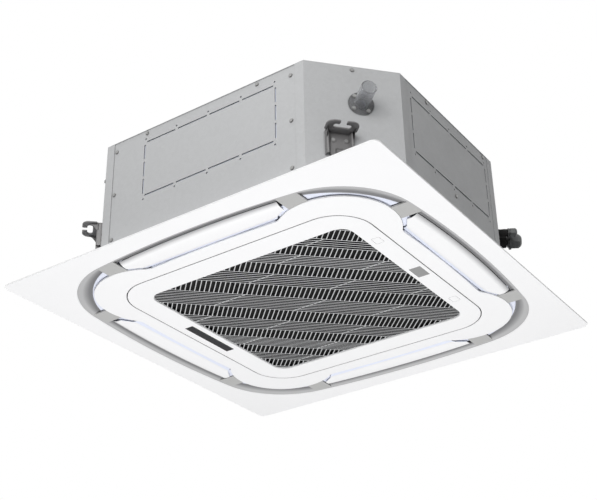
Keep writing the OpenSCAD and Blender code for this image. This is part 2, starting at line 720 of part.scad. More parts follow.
// The flare's section, from the plate up to the throat
bell_steps = 8;
bell_profile = concat(
    [for (k = [0:bell_steps]) let(a = 90 * k / bell_steps)
        [throat_r - bell_t + bell_flare * (1 - sin(a)), bell_z + bell_rise * (1 - cos(a))]],
    [for (k = [bell_steps:-1:0]) let(a = 90 * k / bell_steps)
        [throat_r + bell_flare * (1 - sin(a)),
            bell_z + bell_t * cos(a) + bell_rise * (1 - cos(a))]]);

// Fan: hub dome round the motor, seven swept blades and an inlet shroud
fan_z0 = 96;
fan_h = 139;
fan_top = fan_z0 + fan_h;
shroud_t = 2.5;
hub_t = 3;
fan_eye_r = throat_r + 4;
boss_r = 20;
boss_z0 = 134;
boss_h = 16;
dome_r0 = 66;
dome_r1 = 98;
shaft_r = 5;
blade_root_r = 132;
shroud_profile_shares = [[0, 0], [0.14, 0.055], [0.38, 0.11], [0.7, 0.145], [1, 0.16]];
function shroud_line(d) = [for (s = shroud_profile_shares)
    [fan_eye_r + s.x * (fan_r - fan_eye_r), fan_z0 + s.y * fan_h + d]];
function back(pts) = [for (i = [len(pts) - 1:-1:0]) pts[i]];
fan_sweep = 38;
fan_blade_steps = 8;
function fan_blade_line(d) = [for (k = [0:fan_blade_steps])
    let(f = k / fan_blade_steps, r = blade_root_r + f * (fan_r - hub_t / 2 - blade_root_r),
        a = fan_sweep * f * (0.6 + 0.4 * f) + d * 180 / (PI * r)) r * [cos(a), sin(a)]];
module fan_impeller() color("darkslategray") {
    rotate_extrude() polygon([[shaft_r + run_gap, boss_z0], [boss_r, boss_z0],
        [boss_r, boss_z0 + boss_h - hub_t], [dome_r0, boss_z0 + boss_h - hub_t],
        [dome_r1, fan_top - hub_t], [fan_r, fan_top - hub_t], [fan_r, fan_top],
        [dome_r1 - hub_t, fan_top], [dome_r0 - hub_t, boss_z0 + boss_h],
        [shaft_r + run_gap, boss_z0 + boss_h]]);
    rotate_extrude() polygon(concat(shroud_line(0), back(shroud_line(shroud_t))));
    intersection() {
        translate([0, 0, fan_z0]) linear_extrude(fan_h) for (k = [0:fan_blades - 1])
            rotate(k * 360 / fan_blades)
                polygon(concat(fan_blade_line(0), back(fan_blade_line(fan_blade_t))));
        rotate_extrude() polygon(concat([[blade_root_r - hub_t, fan_top - hub_t / 2]],
            [[blade_root_r - hub_t, fan_z0 + fan_h / 3]], shroud_line(shroud_t / 2),
            [[fan_r, fan_top - hub_t / 2]]));
    }
}
fan_nut_h = 8;
fan_nut_r = 10;
module fan_nut() color("silver") translate([0, 0, boss_z0 - fan_nut_h]) difference() {
    cylinder(r = fan_nut_r, h = fan_nut_h, $fn = 6);
    translate([0, 0, -over]) cylinder(r = shaft_r + run_gap, h = fan_nut_h + 2 * over);
}
motor_z0 = 186;
motor_rim_h = 6;
motor_foot_t = 4;
mount_h = 14;
mount_r = 11;
foot_w = 24;
motor_top = case_top - sheet - mount_h;
shaft_tip = 4;
module fan_motor() color("slategray") {
    translate([0, 0, motor_z0]) cylinder(r = motor_r - motor_rim_h, h = motor_top - motor_z0);
    translate([0, 0, motor_z0 + motor_rim_h])
        cylinder(r = motor_r, h = motor_top - motor_z0 - 2 * motor_rim_h);
    translate([0, 0, motor_top - motor_foot_t]) linear_extrude(motor_foot_t) difference() {
        for (k = [0:motor_feet - 1]) rotate(k * 360 / motor_feet) {
            translate([0, -foot_w / 2]) square([motor_foot_r, foot_w]);
            translate([motor_foot_r, 0]) circle(foot_w / 2);
        }
        for (k = [0:motor_feet - 1]) rotate(k * 360 / motor_feet)
            translate([motor_foot_r, 0]) circle(motor_bolt_r + run_gap);
    }
    translate([0, 0, boss_z0 - fan_nut_h - shaft_tip])
        cylinder(r = shaft_r, h = motor_z0 - boss_z0 + fan_nut_h + shaft_tip + motor_rim_h);
}
module motor_rubber_mounts() color("black") at_motor_feet(motor_top) difference() {
    cylinder(r = mount_r, h = mount_h);
    translate([0, 0, -over]) cylinder(r = motor_bolt_r + run_gap, h = mount_h + 2 * over);
}

// Drain pump over the sump, its impeller, the float switch beside it and the outlet pipe
pump_s = 90;
pump_y = 42;
pump_r = 24;
pump_h = 52;
pump_plate_t = 2;
pump_plate_lip = 2;
volute_r = 16;
volute_wall = 2;
volute_z0 = 36;
pump_shaft_r = 2;
outlet_r = 8;
outlet_bore_r = 6;
float_s = 52;
stem_r = 3;
stem_z0 = 33;
stem_foot_r = 6;
stem_foot_h = 4;
pump_plate_z = pan_top;
pump_motor_z = pump_plate_z + pump_plate_t;
outlet_top = 132;
volute_arm_z0 = 50;
volute_arm_h = 14;
outlet_floor = 3;
module at_pump(s, z) at_edge(0, s, z) translate([0, pump_y, 0]) children();
module drain_pump() color("ivory") {
    difference() {
        union() {
            at_edge(0, sump_s0 - pump_plate_lip, pump_plate_z)
                translate([0, sump_y0 - pump_plate_lip, 0]) cube([
                    sump_s1 - sump_s0 + 2 * pump_plate_lip, sump_y1 - sump_y0, pump_plate_t]);
            at_pump(pump_s, pump_motor_z) cylinder(r = pump_r, h = pump_h);
            at_pump(pump_s, volute_z0) cylinder(r = volute_r, h = pump_plate_z - volute_z0 + over);
            at_pump(pump_s, volute_arm_z0) translate([0, -outlet_r, 0])
                cube([drain_s - pump_s, 2 * outlet_r, volute_arm_h]);
            at_pump(drain_s, volute_arm_z0) cylinder(r = outlet_r, h = outlet_top - volute_arm_z0);
            at_pump(float_s, stem_z0) cylinder(r = stem_r, h = pump_plate_z - stem_z0 + over);
            at_pump(float_s, stem_z0) cylinder(r = stem_foot_r, h = stem_foot_h);
        }
        at_pump(pump_s, volute_z0 - over)
            cylinder(r = volute_r - volute_wall, h = volute_arm_z0 - volute_z0 + over);
        at_pump(pump_s, volute_z0)
            cylinder(r = pump_shaft_r + run_gap, h = pump_motor_z + pump_r - volute_z0);
        at_pump(drain_s, volute_arm_z0 + outlet_floor)
            cylinder(r = outlet_bore_r, h = outlet_top - volute_arm_z0);
    }
}
pump_wheel_gap = 2;
pump_wheel_h = 8;
pump_vanes = 4;
module pump_impeller() color("orange") at_pump(pump_s, volute_z0 + pump_wheel_gap) {
    cylinder(r = volute_r - volute_wall - pump_wheel_gap, h = pump_wheel_h / 4);
    for (k = [0:pump_vanes - 1]) rotate(k * 360 / pump_vanes)
        translate([0, -pump_shaft_r / 2, 0])
            cube([volute_r - volute_wall - pump_wheel_gap - run_gap, pump_shaft_r, pump_wheel_h]);
    cylinder(r = pump_shaft_r, h = pump_motor_z + pump_r / 2 - volute_z0);
}
float_r = 9;
float_h = 14;
float_z = stem_z0 + stem_foot_h + fit_gap;
module float() color("orange") at_pump(float_s, float_z) difference() {
    cylinder(r = float_r, h = float_h);
    translate([0, 0, -over]) cylinder(r = stem_r + run_gap, h = float_h + 2 * over);
}

// Drain hose from the pump's outlet to the socket, the socket's flange and the clear tube
hose_r = 10.5;
hose_bend = 18;
socket_in = pump_y - hose_bend;
hose_grip = 8;
hose_clip_h = 6;
module pump_hose() color("dimgray") difference() {
    union() {
        at_pump(drain_s, outlet_top - hose_grip)
            cylinder(r = hose_r, h = drain_z - hose_bend - outlet_top + hose_grip);
        at_pump(drain_s, drain_z - hose_bend - hose_clip_h / 2)
            cylinder(r = hose_r + over, h = hose_clip_h);
        at_edge(0, drain_s, drain_z - hose_bend) translate([0, socket_in, 0]) rotate([90, 0, 90])
            rotate_extrude(angle = 90) translate([hose_bend, 0]) circle(hose_r);
    }
    at_pump(drain_s, outlet_top - hose_grip - over)
        cylinder(r = outlet_r + run_gap, h = hose_grip + over);
}
drain_flange_t = 3;
socket_neck_r = 13;
socket_bore_r = 10;
module drain_socket() color("lightgray") at_edge(0, drain_s, drain_z) rotate([90, 0, 0])
    difference() {
        union() {
            translate([0, 0, -socket_in])
                cylinder(r = socket_neck_r, h = socket_in + drain_flange_t);
            cylinder(r = drain_flange_r, h = drain_flange_t);
        }
        translate([0, 0, -socket_in - over])
            cylinder(r = socket_bore_r, h = socket_in + drain_flange_t + 2 * over);
        for (a = drain_screw_turns) rotate(a) translate([drain_screw_r, 0, -over])
            cylinder(r = screw_hole_r, h = drain_flange_t + 2 * over);
    }
module drain_tube() color("white", 0.4) at_edge(0, drain_s, drain_z) rotate([90, 0, 0])
    translate([0, 0, drain_flange_t]) difference() {
        cylinder(d = drain_tube_d, h = drain_tube_l - drain_flange_t);
        translate([0, 0, -over]) cylinder(d = drain_bore_d, h = drain_tube_l + over);
    }

// Rubber grommet for the supply cable, in the wiring corner
grommet_t = 3;
module cable_grommet() color("black") at_edge(4, grommet_s(), grommet_z) rotate([90, 0, 0])
    difference() {
        union() {
            cylinder(r = grommet_r, h = grommet_t);
            translate([0, 0, -foam_in]) cylinder(r = grommet_neck_r, h = foam_in + over);
        }
        translate([0, 0, -foam_in - over]) cylinder(d = cable_bore_d, h = foam_in + grommet_t + 2 * over);
    }

// Control box under the bell mouth's plate, open downwards, with its lid and board
box_x0 = 222;
box_end_gap = 4;
box_l = 300;
box_wall = 1.5;
box_h = 34;
lid_t = 1.5;
box_top = bell_z;
box_x1 = pan_open - fit_gap - bell_t - box_end_gap;
module control_box() color("silver") difference() {
    translate([box_x0, -box_l / 2, box_top - box_h]) cube([box_x1 - box_x0, box_l, box_h]);
    translate([box_x0 + box_wall, -box_l / 2 + box_wall, box_top - box_h - over])
        cube([box_x1 - box_x0 - 2 * box_wall, box_l - 2 * box_wall, box_h - box_wall + over]);
}
module control_box_lid() color("silver") translate([box_x0, -box_l / 2, box_top - box_h - lid_t])
    cube([box_x1 - box_x0, box_l, lid_t]);
board_t = 1.6;
board_gap = 4;
board_post_r = 3;
board_part_h = 12;
module control_board() color("darkgreen") translate([box_x0 + box_wall + board_gap,
        -box_l / 2 + box_wall + board_gap, box_top - box_wall - board_gap - board_t]) {
    bx = box_x1 - box_x0 - 2 * box_wall - 2 * board_gap;
    by = box_l - 2 * box_wall - 2 * board_gap;
    cube([bx, by, board_t]);
    for (x = [board_post_r, bx - board_post_r]) for (y = [board_post_r, by - board_post_r])
        translate([x, y, board_t / 2]) cylinder(r = board_post_r, h = board_gap + board_t / 2);
    for (k = [0:3]) translate([bx / 4, by * (1 + 2 * k) / 10, -board_part_h])
        cube([bx / 2, by / 10, board_part_h + board_t / 2]);
    translate([bx / 8, by * 17 / 20, -board_part_h])
        cube([bx * 3 / 4, by / 10, board_part_h + board_t / 2]);
}

// Foam seal between the panel and the body
seal_in = 5;
module panel_seal() color("dimgray") translate([0, 0, liner_top]) linear_extrude(case_z0 - liner_top)
    difference() {
        polygon(case_inset(wall_in + seal_in));
        polygon(round_square(under_half + fit_gap, under_corner_r));
        duct_slots(0);
        for (k = [0:3]) rotate(45 + 90 * k) translate([panel_screw_at, 0])
            circle(panel_screw_r + fit_gap);
    }
// Screws that hold the panel to the gussets, with their nuts
tab_t = 3;
tab_z = liner_z - tab_t;
panel_head_r = 4.8;
panel_head_h = 3;
panel_nut_r = 4.5;
panel_nut_h = 4;
module panel_screws() color("silver") at_panel_screws(0) {
    translate([0, 0, tab_z - panel_head_h]) cylinder(r = panel_head_r, h = panel_head_h);
    translate([0, 0, tab_z]) cylinder(r = panel_screw_r, h = case_z0 + sheet + panel_nut_h - tab_z);
    translate([0, 0, case_z0 + sheet]) cylinder(r = panel_nut_r, h = panel_nut_h, $fn = 6);
}

// Panel frame: the flat white border, with a stiffening wall on its back
rib_out = 9;
rib_t = 2;
rib_h = 10;
module panel_frame() color("white") {
    translate([0, 0, face_z]) linear_extrude(panel_t) difference() {
        polygon(round_square(panel_side / 2, panel_corner_r));
        polygon(ring_outline(0));
    }
    linear_extrude(rib_h) difference() {
        polygon(ring_outline(-rib_out - rib_t));
        polygon(ring_outline(-rib_out));
    }
}

// Grey ring: a slope from the border into the channel, with a flange on the border's back
ring_face = 0.5;
ring_land = 2.5;
slope_z = 4;
ring_top = 8;
ring_flange = 7;
ring_flange_t = 2;
sliver = 0.1;
module strap_row(w) for (k = [-1, 1]) translate([k * (strap_x + strap_w / 2) - w / 2, 0]) children();
module strap_plan(d) intersection() {
    four_sides() strap_row(strap_w + 2 * d) translate([0, disc_at])
        square([strap_w + 2 * d, ring_mid - disc_at]);
    difference() {
        polygon(ring_outline(ring_land + ring_face - d));
        for (x = [-disc_at, disc_at]) for (y = [-disc_at, disc_at])
            translate([x, y]) circle(disc_r + fit_gap - d);
    }
}
module channel_ring() color("darkgray") {
    difference() {
        union() {
            translate([0, 0, face_z + ring_face]) linear_extrude(ring_top - face_z - ring_face)
                polygon(ring_outline(fit_gap));
            linear_extrude(ring_flange_t) polygon(ring_outline(-ring_flange));
        }
        hull() {
            translate([0, 0, face_z + ring_face - sliver]) linear_extrude(sliver)
                polygon(ring_outline(ring_land));
            translate([0, 0, slope_z]) linear_extrude(sliver) polygon(lip_outline(0));
        }
        translate([0, 0, slope_z]) linear_extrude(ring_top) polygon(lip_outline(0));
        translate([0, 0, face_z - over]) linear_extrude(strap_t - strap_drop - face_z + over + nut_gap)
            strap_plan(nut_gap);
    }
}

// Eight straps across the channel, each with a block above it that carries a louvre's rod
block_out = 11;
block_in = 9;
strap_sink = 18;
module channel_straps() color("lightgray") difference() {
    union() {
        translate([0, 0, -strap_drop]) linear_extrude(strap_t) strap_plan(0);
        four_sides() strap_row(strap_w) translate([0, pivot_y - block_in, nut_gap])
            cube([strap_w, block_in + block_out, liner_z - nut_gap]);
        four_sides() strap_row(strap_w) translate([0, pivot_y + block_out - over, nut_gap])
            cube([strap_w, lip_mid - strap_sink - pivot_y - block_out, strap_t - strap_drop]);
    }
    four_sides() translate([0, pivot_y, pivot_z]) rotate([0, 90, 0])
        cylinder(r = rod_r + run_gap, h = 2 * disc_at + 2 * disc_r, center = true);
}

// Pale foam liner above the louvres, with the four duct slots; it fills the corners
fill_gap = 3;
fill_z = 3;
motor_l = 20;
motor_w = 25;
motor_h = 13;
motor_lip = 2.5;
louvre_motor_gap = 0.8;
slot_cut_x = 34;
slot_cut_y = 18;
slot_bow = asin((blade_l / 2 + blade_gap) / ring_bow_r);
module liner_slots() intersection() {
    four_sides() polygon(concat(
        [[-blade_l / 2 - blade_gap, duct_in + slot_cut_y], [-blade_l / 2 + slot_cut_x, duct_in],
            [blade_l / 2 - slot_cut_x, duct_in], [blade_l / 2 + blade_gap, duct_in + slot_cut_y]],
        arc([0, lip_mid - ring_bow_r], ring_bow_r - blade_gap / 2,
            90 - slot_bow, 90 + slot_bow, side_step)));
    polygon(case_inset(wall_in + slot_wall / 2));
}
module duct_liner() color("lavender") difference() {
    union() {
        translate([0, 0, liner_z]) linear_extrude(liner_t) difference() {
            polygon(ring_outline(over));
            polygon(round_square(ridge_half, ridge_r));
            liner_slots();
        }
        translate([0, 0, ring_top]) linear_extrude(liner_z - ring_top) difference() {
            polygon(ring_outline(over));
            polygon(lip_outline(0));
        }
        translate([0, 0, fill_z]) linear_extrude(liner_z - fill_z) intersection() {
            difference() {
                polygon(lip_outline(fit_gap));
                for (x = [-disc_at, disc_at]) for (y = [-disc_at, disc_at])
                    translate([x, y]) circle(disc_r - fill_gap);
            }
            for (k = [0:3]) rotate(90 * k)
                translate([strap_x + strap_w + fit_gap, strap_x + strap_w + fit_gap])
                    square([disc_at, disc_at]);
        }
    }
    four_sides()
        translate([strap_x + strap_w, pivot_y + motor_lip - motor_w - louvre_motor_gap, -over])
        cube([motor_l + 2 * louvre_motor_gap, motor_w + 2 * louvre_motor_gap,
            motor_h + over + 2 * louvre_motor_gap]);
}

// Centre plate: the white ring with four disc corners, a ridge round the grille's hole, tabs
// for the panel screws, and two notches in the ridge whose ears carry the grille's hinge pins
tab_r = 10;
ear_x = 200;
ear_w = 4;
hinge_y = ridge_half + ridge_t / 2;
hinge_z = 1.5;
hinge_pin_r = 1;
barrel_r = 2;
lug_w = 5;
lug_gap = 0.4;
lug_t = 3;
lug_sink = 0.5;
tab_reach = (ridge_half - ridge_r) * sqrt(2) + ridge_r + ridge_t / 2 - panel_screw_at;
ear_pitch = lug_w / 2 + lug_gap + ear_w / 2;
module at_hinges(z) for (k = [-1, 1]) translate([k * ear_x, hinge_y, z]) children();
module pin_bar(r, l) translate([-l / 2, 0, 0]) rotate([0, 90, 0]) cylinder(r = r, h = l);
module centre_plate() color("white") {
    difference() {
        union() {
            translate([0, 0, face_z]) linear_extrude(panel_t) polygon(plate_outline(0));
            translate([0, 0, -panel_t / 2]) linear_extrude(liner_z + panel_t / 2) difference() {
                polygon(round_square(ridge_half + ridge_t, ridge_r + ridge_t));
                polygon(round_square(ridge_half, ridge_r));
            }
            at_hinges(0) for (s = [-1, 1]) translate([s * ear_pitch, 0, 0]) {
                translate([0, 0, hinge_z]) pin_bar(barrel_r, ear_w);
                translate([-ear_w / 2, -barrel_r, -panel_t / 2])
                    cube([ear_w, 2 * barrel_r, hinge_z + panel_t / 2]);
            }
        }
        translate([0, 0, face_z - over]) linear_extrude(panel_t + over)
            polygon(round_square(hole_half, hole_r));
        at_hinges(hinge_z) pin_bar(hinge_pin_r + run_gap, 2 * (ear_pitch + ear_w / 2 + over));
        at_hinges(-lug_sink) translate([-lug_w / 2 - lug_gap, -hinge_y + grille_half, 0])
            cube([lug_w + 2 * lug_gap, hinge_y - grille_half + lug_t, liner_z + lug_sink + over]);
    }
    difference() {
        at_panel_screws(tab_z) {
            cylinder(r = tab_r, h = tab_t);
            translate([0, -tab_r, 0]) cube([tab_reach, 2 * tab_r, tab_t]);
        }
        at_panel_screws(tab_z - over) cylinder(r = panel_screw_r + run_gap, h = tab_t + 2 * over);
    }
}

// Louvres: a bowed blade on three arms, hung from a rod at its inner edge. Drawn on the north
// side and turned to its own
blade_chamfer_x = 31;
blade_chamfer_y = 18;
blade_bow_r = 195;
blade_low = 1.4;
arm_w = 6;
arm_x = 120;
arm_hub_r = 3.6;
arm_foot_y = 25;
arm_sink = 0.8;
rod_far = 20;
rod_near = 0.4;
coupling_r = 1.5;
coupling_l = 7;
blade_bow = asin(blade_l / 2 / (ring_bow_r - blade_gap));
module louvre() color("white") {
    rod_x0 = -strap_x - rod_far;
    rod_x1 = strap_x + strap_w - rod_near;
    bow_z = face_z - blade_low + blade_bow_r;
    difference() {
        union() {
            intersection() {
                translate([0, 0, face_z - blade_low - over]) linear_extrude(blade_w)
                    polygon(concat([
                        [-blade_l / 2, blade_in + blade_chamfer_y],
                        [-blade_l / 2 + blade_chamfer_x, blade_in],
                        [blade_l / 2 - blade_chamfer_x, blade_in],
                        [blade_l / 2, blade_in + blade_chamfer_y]],
                        arc([0, lip_mid - ring_bow_r], ring_bow_r - blade_gap,
                            90 - blade_bow, 90 + blade_bow, side_step)));
                translate([-blade_l / 2 - over, blade_in + blade_w / 2, bow_z]) rotate([0, 90, 0])
                    difference() {
                        cylinder(r = blade_bow_r, h = blade_l + 2 * over, $fn = 128);
                        translate([0, 0, -over])
                            cylinder(r = blade_bow_r - blade_t, h = blade_l + 4 * over, $fn = 128);
                    }
                translate([-blade_l / 2 - over, blade_in - over, face_z - blade_low - over])
                    cube([blade_l + 2 * over, blade_w + 2 * over, blade_w / 2]);
            }
            for (x = [-arm_x, 0, arm_x]) translate([x - arm_w / 2, 0, 0]) rotate([90, 0, 90])
                linear_extrude(arm_w) polygon(concat(
                    arc([pivot_y, pivot_z], arm_hub_r, 200, 20, small_step),
                    [[blade_in + arm_foot_y, face_z + arm_sink],
                        [blade_in + arm_foot_y / 5, face_z + arm_sink]]));
            translate([rod_x0, pivot_y, pivot_z]) rotate([0, 90, 0])
                cylinder(r = rod_r, h = rod_x1 - rod_x0);
        }
        translate([rod_x1 - coupling_l - fit_gap, pivot_y, pivot_z]) rotate([0, 90, 0])
            cylinder(r = coupling_r + run_gap, h = coupling_l + fit_gap + over);
    }
}
// A small geared motor at one end of each louvre
module louvre_motors() color("ivory") four_sides() {
    translate([strap_x + strap_w, pivot_y + motor_lip - motor_w, nut_gap])
        translate([fit_gap, 0, 0]) cube([motor_l - fit_gap, motor_w, motor_h]);
    translate([strap_x + strap_w + fit_gap - coupling_l, pivot_y, pivot_z]) rotate([0, 90, 0])
        cylinder(r = coupling_r, h = coupling_l + over);
}

// Grille frame: the white hinged border of the intake, with its rims, its guards and the bent
// necks of its hinges, which reach over the hole's edge so that the border swings clear of it
frame_rim_t = 3;
frame_rim_h = 5;
outer_rim_in = 9;
rim_gap = 3;
neck_top = 10.3;
latch_x = 163;
latch_w = 24;
latch_d = 18;
latch_r = 4;
latch_gap = 0.4;
latch_flange = 2;
latch_flange_t = 2;
latch_boss_h = 4;
latch_travel = 3;
latch_in = 23.5;
latch_y = latch_in - grille_half;
guard_t = 2;
guard_h = latch_boss_h + 2 * latch_travel;
window_shift = 1.5;
window_y = (open_hi.y + grille_half) / 2 - window_shift;
window_lip = 3;
window_t = 2;
badge_x = 4.5;
badge_in = 22.5;
badge_t = 0.5;
module at_latches() for (k = [-1, 1]) translate([k * latch_x, latch_y, 0]) children();
function centred(l, w, r) = round_box([-l / 2, -w / 2], [l / 2, w / 2], r);
function opening(d) = round_box(open_lo - [d, d], open_hi + [d, d], opening_corner_r + d);
module grille_frame() color("white") {
    translate([0, 0, face_z]) linear_extrude(panel_t) difference() {
        polygon(round_square(grille_half, grille_corner_r));
        polygon(opening(0));
        translate([0, window_y]) polygon(centred(window_l + fit_gap, window_w + fit_gap, over));
        at_latches() polygon(centred(latch_w + 2 * latch_gap, latch_d + 2 * latch_gap, latch_r));
    }
    translate([0, 0, -panel_t / 2]) linear_extrude(frame_rim_h + panel_t / 2) difference() {
        polygon(opening(rim_gap + frame_rim_t));
        polygon(opening(rim_gap));
    }
    inner_rim_in = outer_rim_in + frame_rim_t;
    translate([0, 0, -panel_t / 2]) linear_extrude(frame_rim_h + panel_t / 2) difference() {
        polygon(round_square(grille_half - outer_rim_in, grille_corner_r - outer_rim_in));
        polygon(round_square(grille_half - inner_rim_in, grille_corner_r - inner_rim_in));
    }
    neck_foot = grille_half - outer_rim_in - hinge_y;
    at_hinges(0) {
        translate([0, 0, hinge_z]) pin_bar(lug_t / 2, lug_w);
        translate([0, 0, hinge_z]) pin_bar(hinge_pin_r, 2 * (ear_pitch + ear_w / 2));
        translate([-lug_w / 2, -lug_t / 2, hinge_z]) cube([lug_w, lug_t, neck_top - hinge_z]);
        translate([-lug_w / 2, neck_foot, neck_top - lug_t]) cube([lug_w, -neck_foot, lug_t]);
        translate([-lug_w / 2, neck_foot - frame_rim_t / 2, -panel_t / 2])
            cube([lug_w, frame_rim_t / 2 + lug_t, neck_top + panel_t / 2]);
    }
    guard_half = latch_w / 2 + latch_flange + latch_gap + guard_t;
    at_latches() translate([0, -latch_d / 2, 0]) difference() {
        translate([-guard_half, 0, -panel_t / 2])
            cube([2 * guard_half, latch_d, guard_h + guard_t + panel_t / 2]);
        translate([guard_t - guard_half, -over, -panel_t / 2 - over])
            cube([2 * (guard_half - guard_t), latch_d + 2 * over, guard_h + panel_t / 2 + over]);
    }
}
module latch(k) color("whitesmoke") translate([k * latch_x, latch_y, face_z]) {
    linear_extrude(panel_t + latch_flange_t) polygon(centred(latch_w, latch_d, latch_r - latch_gap));
    translate([0, 0, panel_t + fit_gap]) linear_extrude(latch_flange_t) polygon(
        centred(latch_w + 2 * latch_flange, latch_d + 2 * latch_flange, latch_r));
    translate([0, 0, panel_t]) cylinder(r = latch_r, h = latch_boss_h);
}
module display_window() color([0.16, 0.16, 0.17]) translate([0, window_y, 0]) {
    translate([0, 0, face_z + sliver]) linear_extrude(panel_t - sliver)
        polygon(centred(window_l, window_w, over));
    linear_extrude(window_t) polygon(centred(window_l + 2 * window_lip, window_w + window_lip, over));
}
module badge_plate() color("gray") translate([badge_x, badge_in - grille_half, face_z - badge_t])
    linear_extrude(badge_t) polygon(centred(badge_l, badge_w, over));

// Lattice of the intake. Ladder bands of cross bars and bands of long slats alternate along the
// diagonal. A band is [middle, half width] as shares of the opening's width, from its centre
lattice_t = 3;
lattice_lap = 2.5;
lattice_edge = 1;
band_shares = [[0.116, 0.0535], [0.314, 0.0465], [0.485, 0.0405], [0.632, 0.0405]];
slat_pitch = 7.6;
rib_pitch = 128;
rib_slope = 0.36;
rib_w = 2;
least_cell = 10;
open_mid = (open_lo + open_hi) / 2;
open_w = open_hi.x - open_lo.x;
function band_end(k, s) = (band_shares[k][0] + s * band_shares[k][1]) * open_w;
// Bands from the middle of the opening outwards, and their mirror images
function both_ways(bands) = concat(bands, [for (b = bands) [-b[1], -b[0]]]);
ladder_bands = both_ways([for (k = [0:3]) [band_end(k, -1), band_end(k, 1)]]);
slat_bands = concat([[-band_end(0, -1), band_end(0, -1)]],
    both_ways([for (k = [0:2]) [band_end(k, 1), band_end(k + 1, -1)]]),
    both_ways([[band_end(3, 1), band_end(3, 1) + open_w / 4]]));
// A point of a ladder band, across and along it, and of a slat band, across it and at an x
function ladder_point(u, v) = open_mid + [u + v, u - v] / sqrt(2);
function slat_point(u, x) = open_mid + [x, u * sqrt(2) - x];
ladder_count = ceil(open_w * 0.75 / lattice_pitch);
ladder_cells = [for (b = ladder_bands) for (k = [-ladder_count:ladder_count])
    let(v0 = k * lattice_pitch + lattice_bar / 2, v1 = v0 + lattice_pitch - lattice_bar,
        u0 = b[0] + lattice_bar / 2, u1 = b[1] - lattice_bar / 2)
    [ladder_point(u0, v0), ladder_point(u0, v1), ladder_point(u1, v1), ladder_point(u1, v0)]];
// A slat band's slots run between ribs that stand north to south
slat_cells = [for (b = slat_bands)
    let(n = max(1, round((b[1] - b[0]) / slat_pitch)), pitch = (b[1] - b[0]) / n,
        x_mid = rib_slope * (b[0] + b[1]) / 2)
    for (k = [-3:2]) for (j = [0:n - 1])
    let(x0 = x_mid + k * rib_pitch + rib_w / 2, x1 = x0 + rib_pitch - rib_w,
        u0 = b[0] + j * pitch + lattice_bar / 2, u1 = u0 + pitch - lattice_bar)
    [slat_point(u0, x0), slat_point(u0, x1), slat_point(u1, x1), slat_point(u1, x0)]];
// A cell clipped to the inside of a convex outline that runs counter-clockwise
function clip_edge(pts, p, n) = [for (i = [0:1:len(pts) - 1])
    let(a = pts[i], b = pts[(i + 1) % len(pts)], da = (a - p) * n, db = (b - p) * n)
    each concat(da <= 0 ? [a] : [], da * db < 0 ? [a + (b - a) * da / (da - db)] : [])];
function clip(pts, edge, i = 0) = i == len(edge) || len(pts) < 3 ? pts :
    let(v = edge[(i + 1) % len(edge)] - edge[i])
    clip(clip_edge(pts, edge[i], [v.y, -v.x]), edge, i + 1);
function area(pts, i = 0, sum = 0) = i >= len(pts) ? abs(sum) / 2 :
    let(a = pts[i], b = pts[(i + 1) % len(pts)]) area(pts, i + 1, sum + a.x * b.y - a.y * b.x);
lattice_cells = let(inside = opening(-lattice_edge))
    [for (c = concat(ladder_cells, slat_cells)) let(d = clip(c, inside))
        if (len(d) > 2 && area(d) > least_cell) d];
module grille_lattice() color([0.25, 0.25, 0.25]) difference() {
    linear_extrude(lattice_t) polygon(opening(lattice_lap));
    for (c = lattice_cells) translate([0, 0, -over]) linear_extrude(lattice_t + 2 * over)
        polygon(c);
}

// Dust filter behind the lattice: a frame with cross bars, and its net
filter_w = 10;
filter_out = 10;
filter_t = 3;
filter_z = frame_rim_h + fit_gap;
net_t = 0.6;
net_lap = 3;
function filter_outline(d) = opening(filter_out - d);
module filter_frame() color("gray") difference() {
    translate([0, 0, filter_z]) linear_extrude(filter_t) union() {
        difference() {
            polygon(filter_outline(0));
            polygon(filter_outline(filter_w));
        }
        for (k = [-1, 1]) {
            translate([open_mid.x + k * open_w / 6 - filter_t / 2, open_lo.y - filter_w / 2])
                square([filter_t, open_hi.y - open_lo.y + filter_w]);
            translate([open_lo.x - filter_w / 2, open_mid.y + k * open_w / 6 - filter_t / 2])
                square([open_w + filter_w, filter_t]);
        }
    }
    translate([0, 0, filter_z + filter_t - net_t]) linear_extrude(net_t + over)
        polygon(filter_outline(filter_w - net_lap));
}
module filter_mesh() color("darkslategray") translate([0, 0, filter_z + filter_t - net_t])
    linear_extrude(net_t) polygon(filter_outline(filter_w - net_lap + run_gap));

top_plate();
side_panel(7);  // west_side_panel
side_panel(1);  // south_side_panel
side_panel(3);  // east_side_panel
side_panel(5);  // north_side_panel
drain_corner_panel();
pipe_corner_panel();
wiring_corner_panel();
plain_corner_panel();
casing_screws();
hanger(0);  // drain_corner_hanger
hanger(2);  // pipe_corner_hanger
hanger(4);  // wiring_corner_hanger
hanger(6);  // plain_corner_hanger
casing_insulation();
base_frame();
drain_pan();
bell_mouth();
coil_fins();
coil_end_plates();
coil_tubes();
gas_pipe();
gas_flare_nut();
liquid_pipe();
liquid_flare_nut();
pipe_foam();
fan_motor();
motor_rubber_mounts();
fan_impeller();
fan_nut();
drain_pump();
pump_impeller();
float();
pump_hose();
drain_socket();
drain_tube();
cable_grommet();
control_box();
control_box_lid();
control_board();
panel_seal();
panel_screws();
panel_frame();
channel_ring();
channel_straps();
duct_liner();
centre_plate();
rotate(90) louvre();  // louvre_west
rotate(180) louvre();  // louvre_south
rotate(-90) louvre();  // louvre_east
louvre();  // louvre_north
louvre_motors();
grille_frame();
grille_lattice();
latch(-1);  // latch_west
latch(1);  // latch_east
display_window();
badge_plate();
filter_frame();
filter_mesh();
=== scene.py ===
import math

import bmesh
import bpy
from mathutils import Matrix, Vector


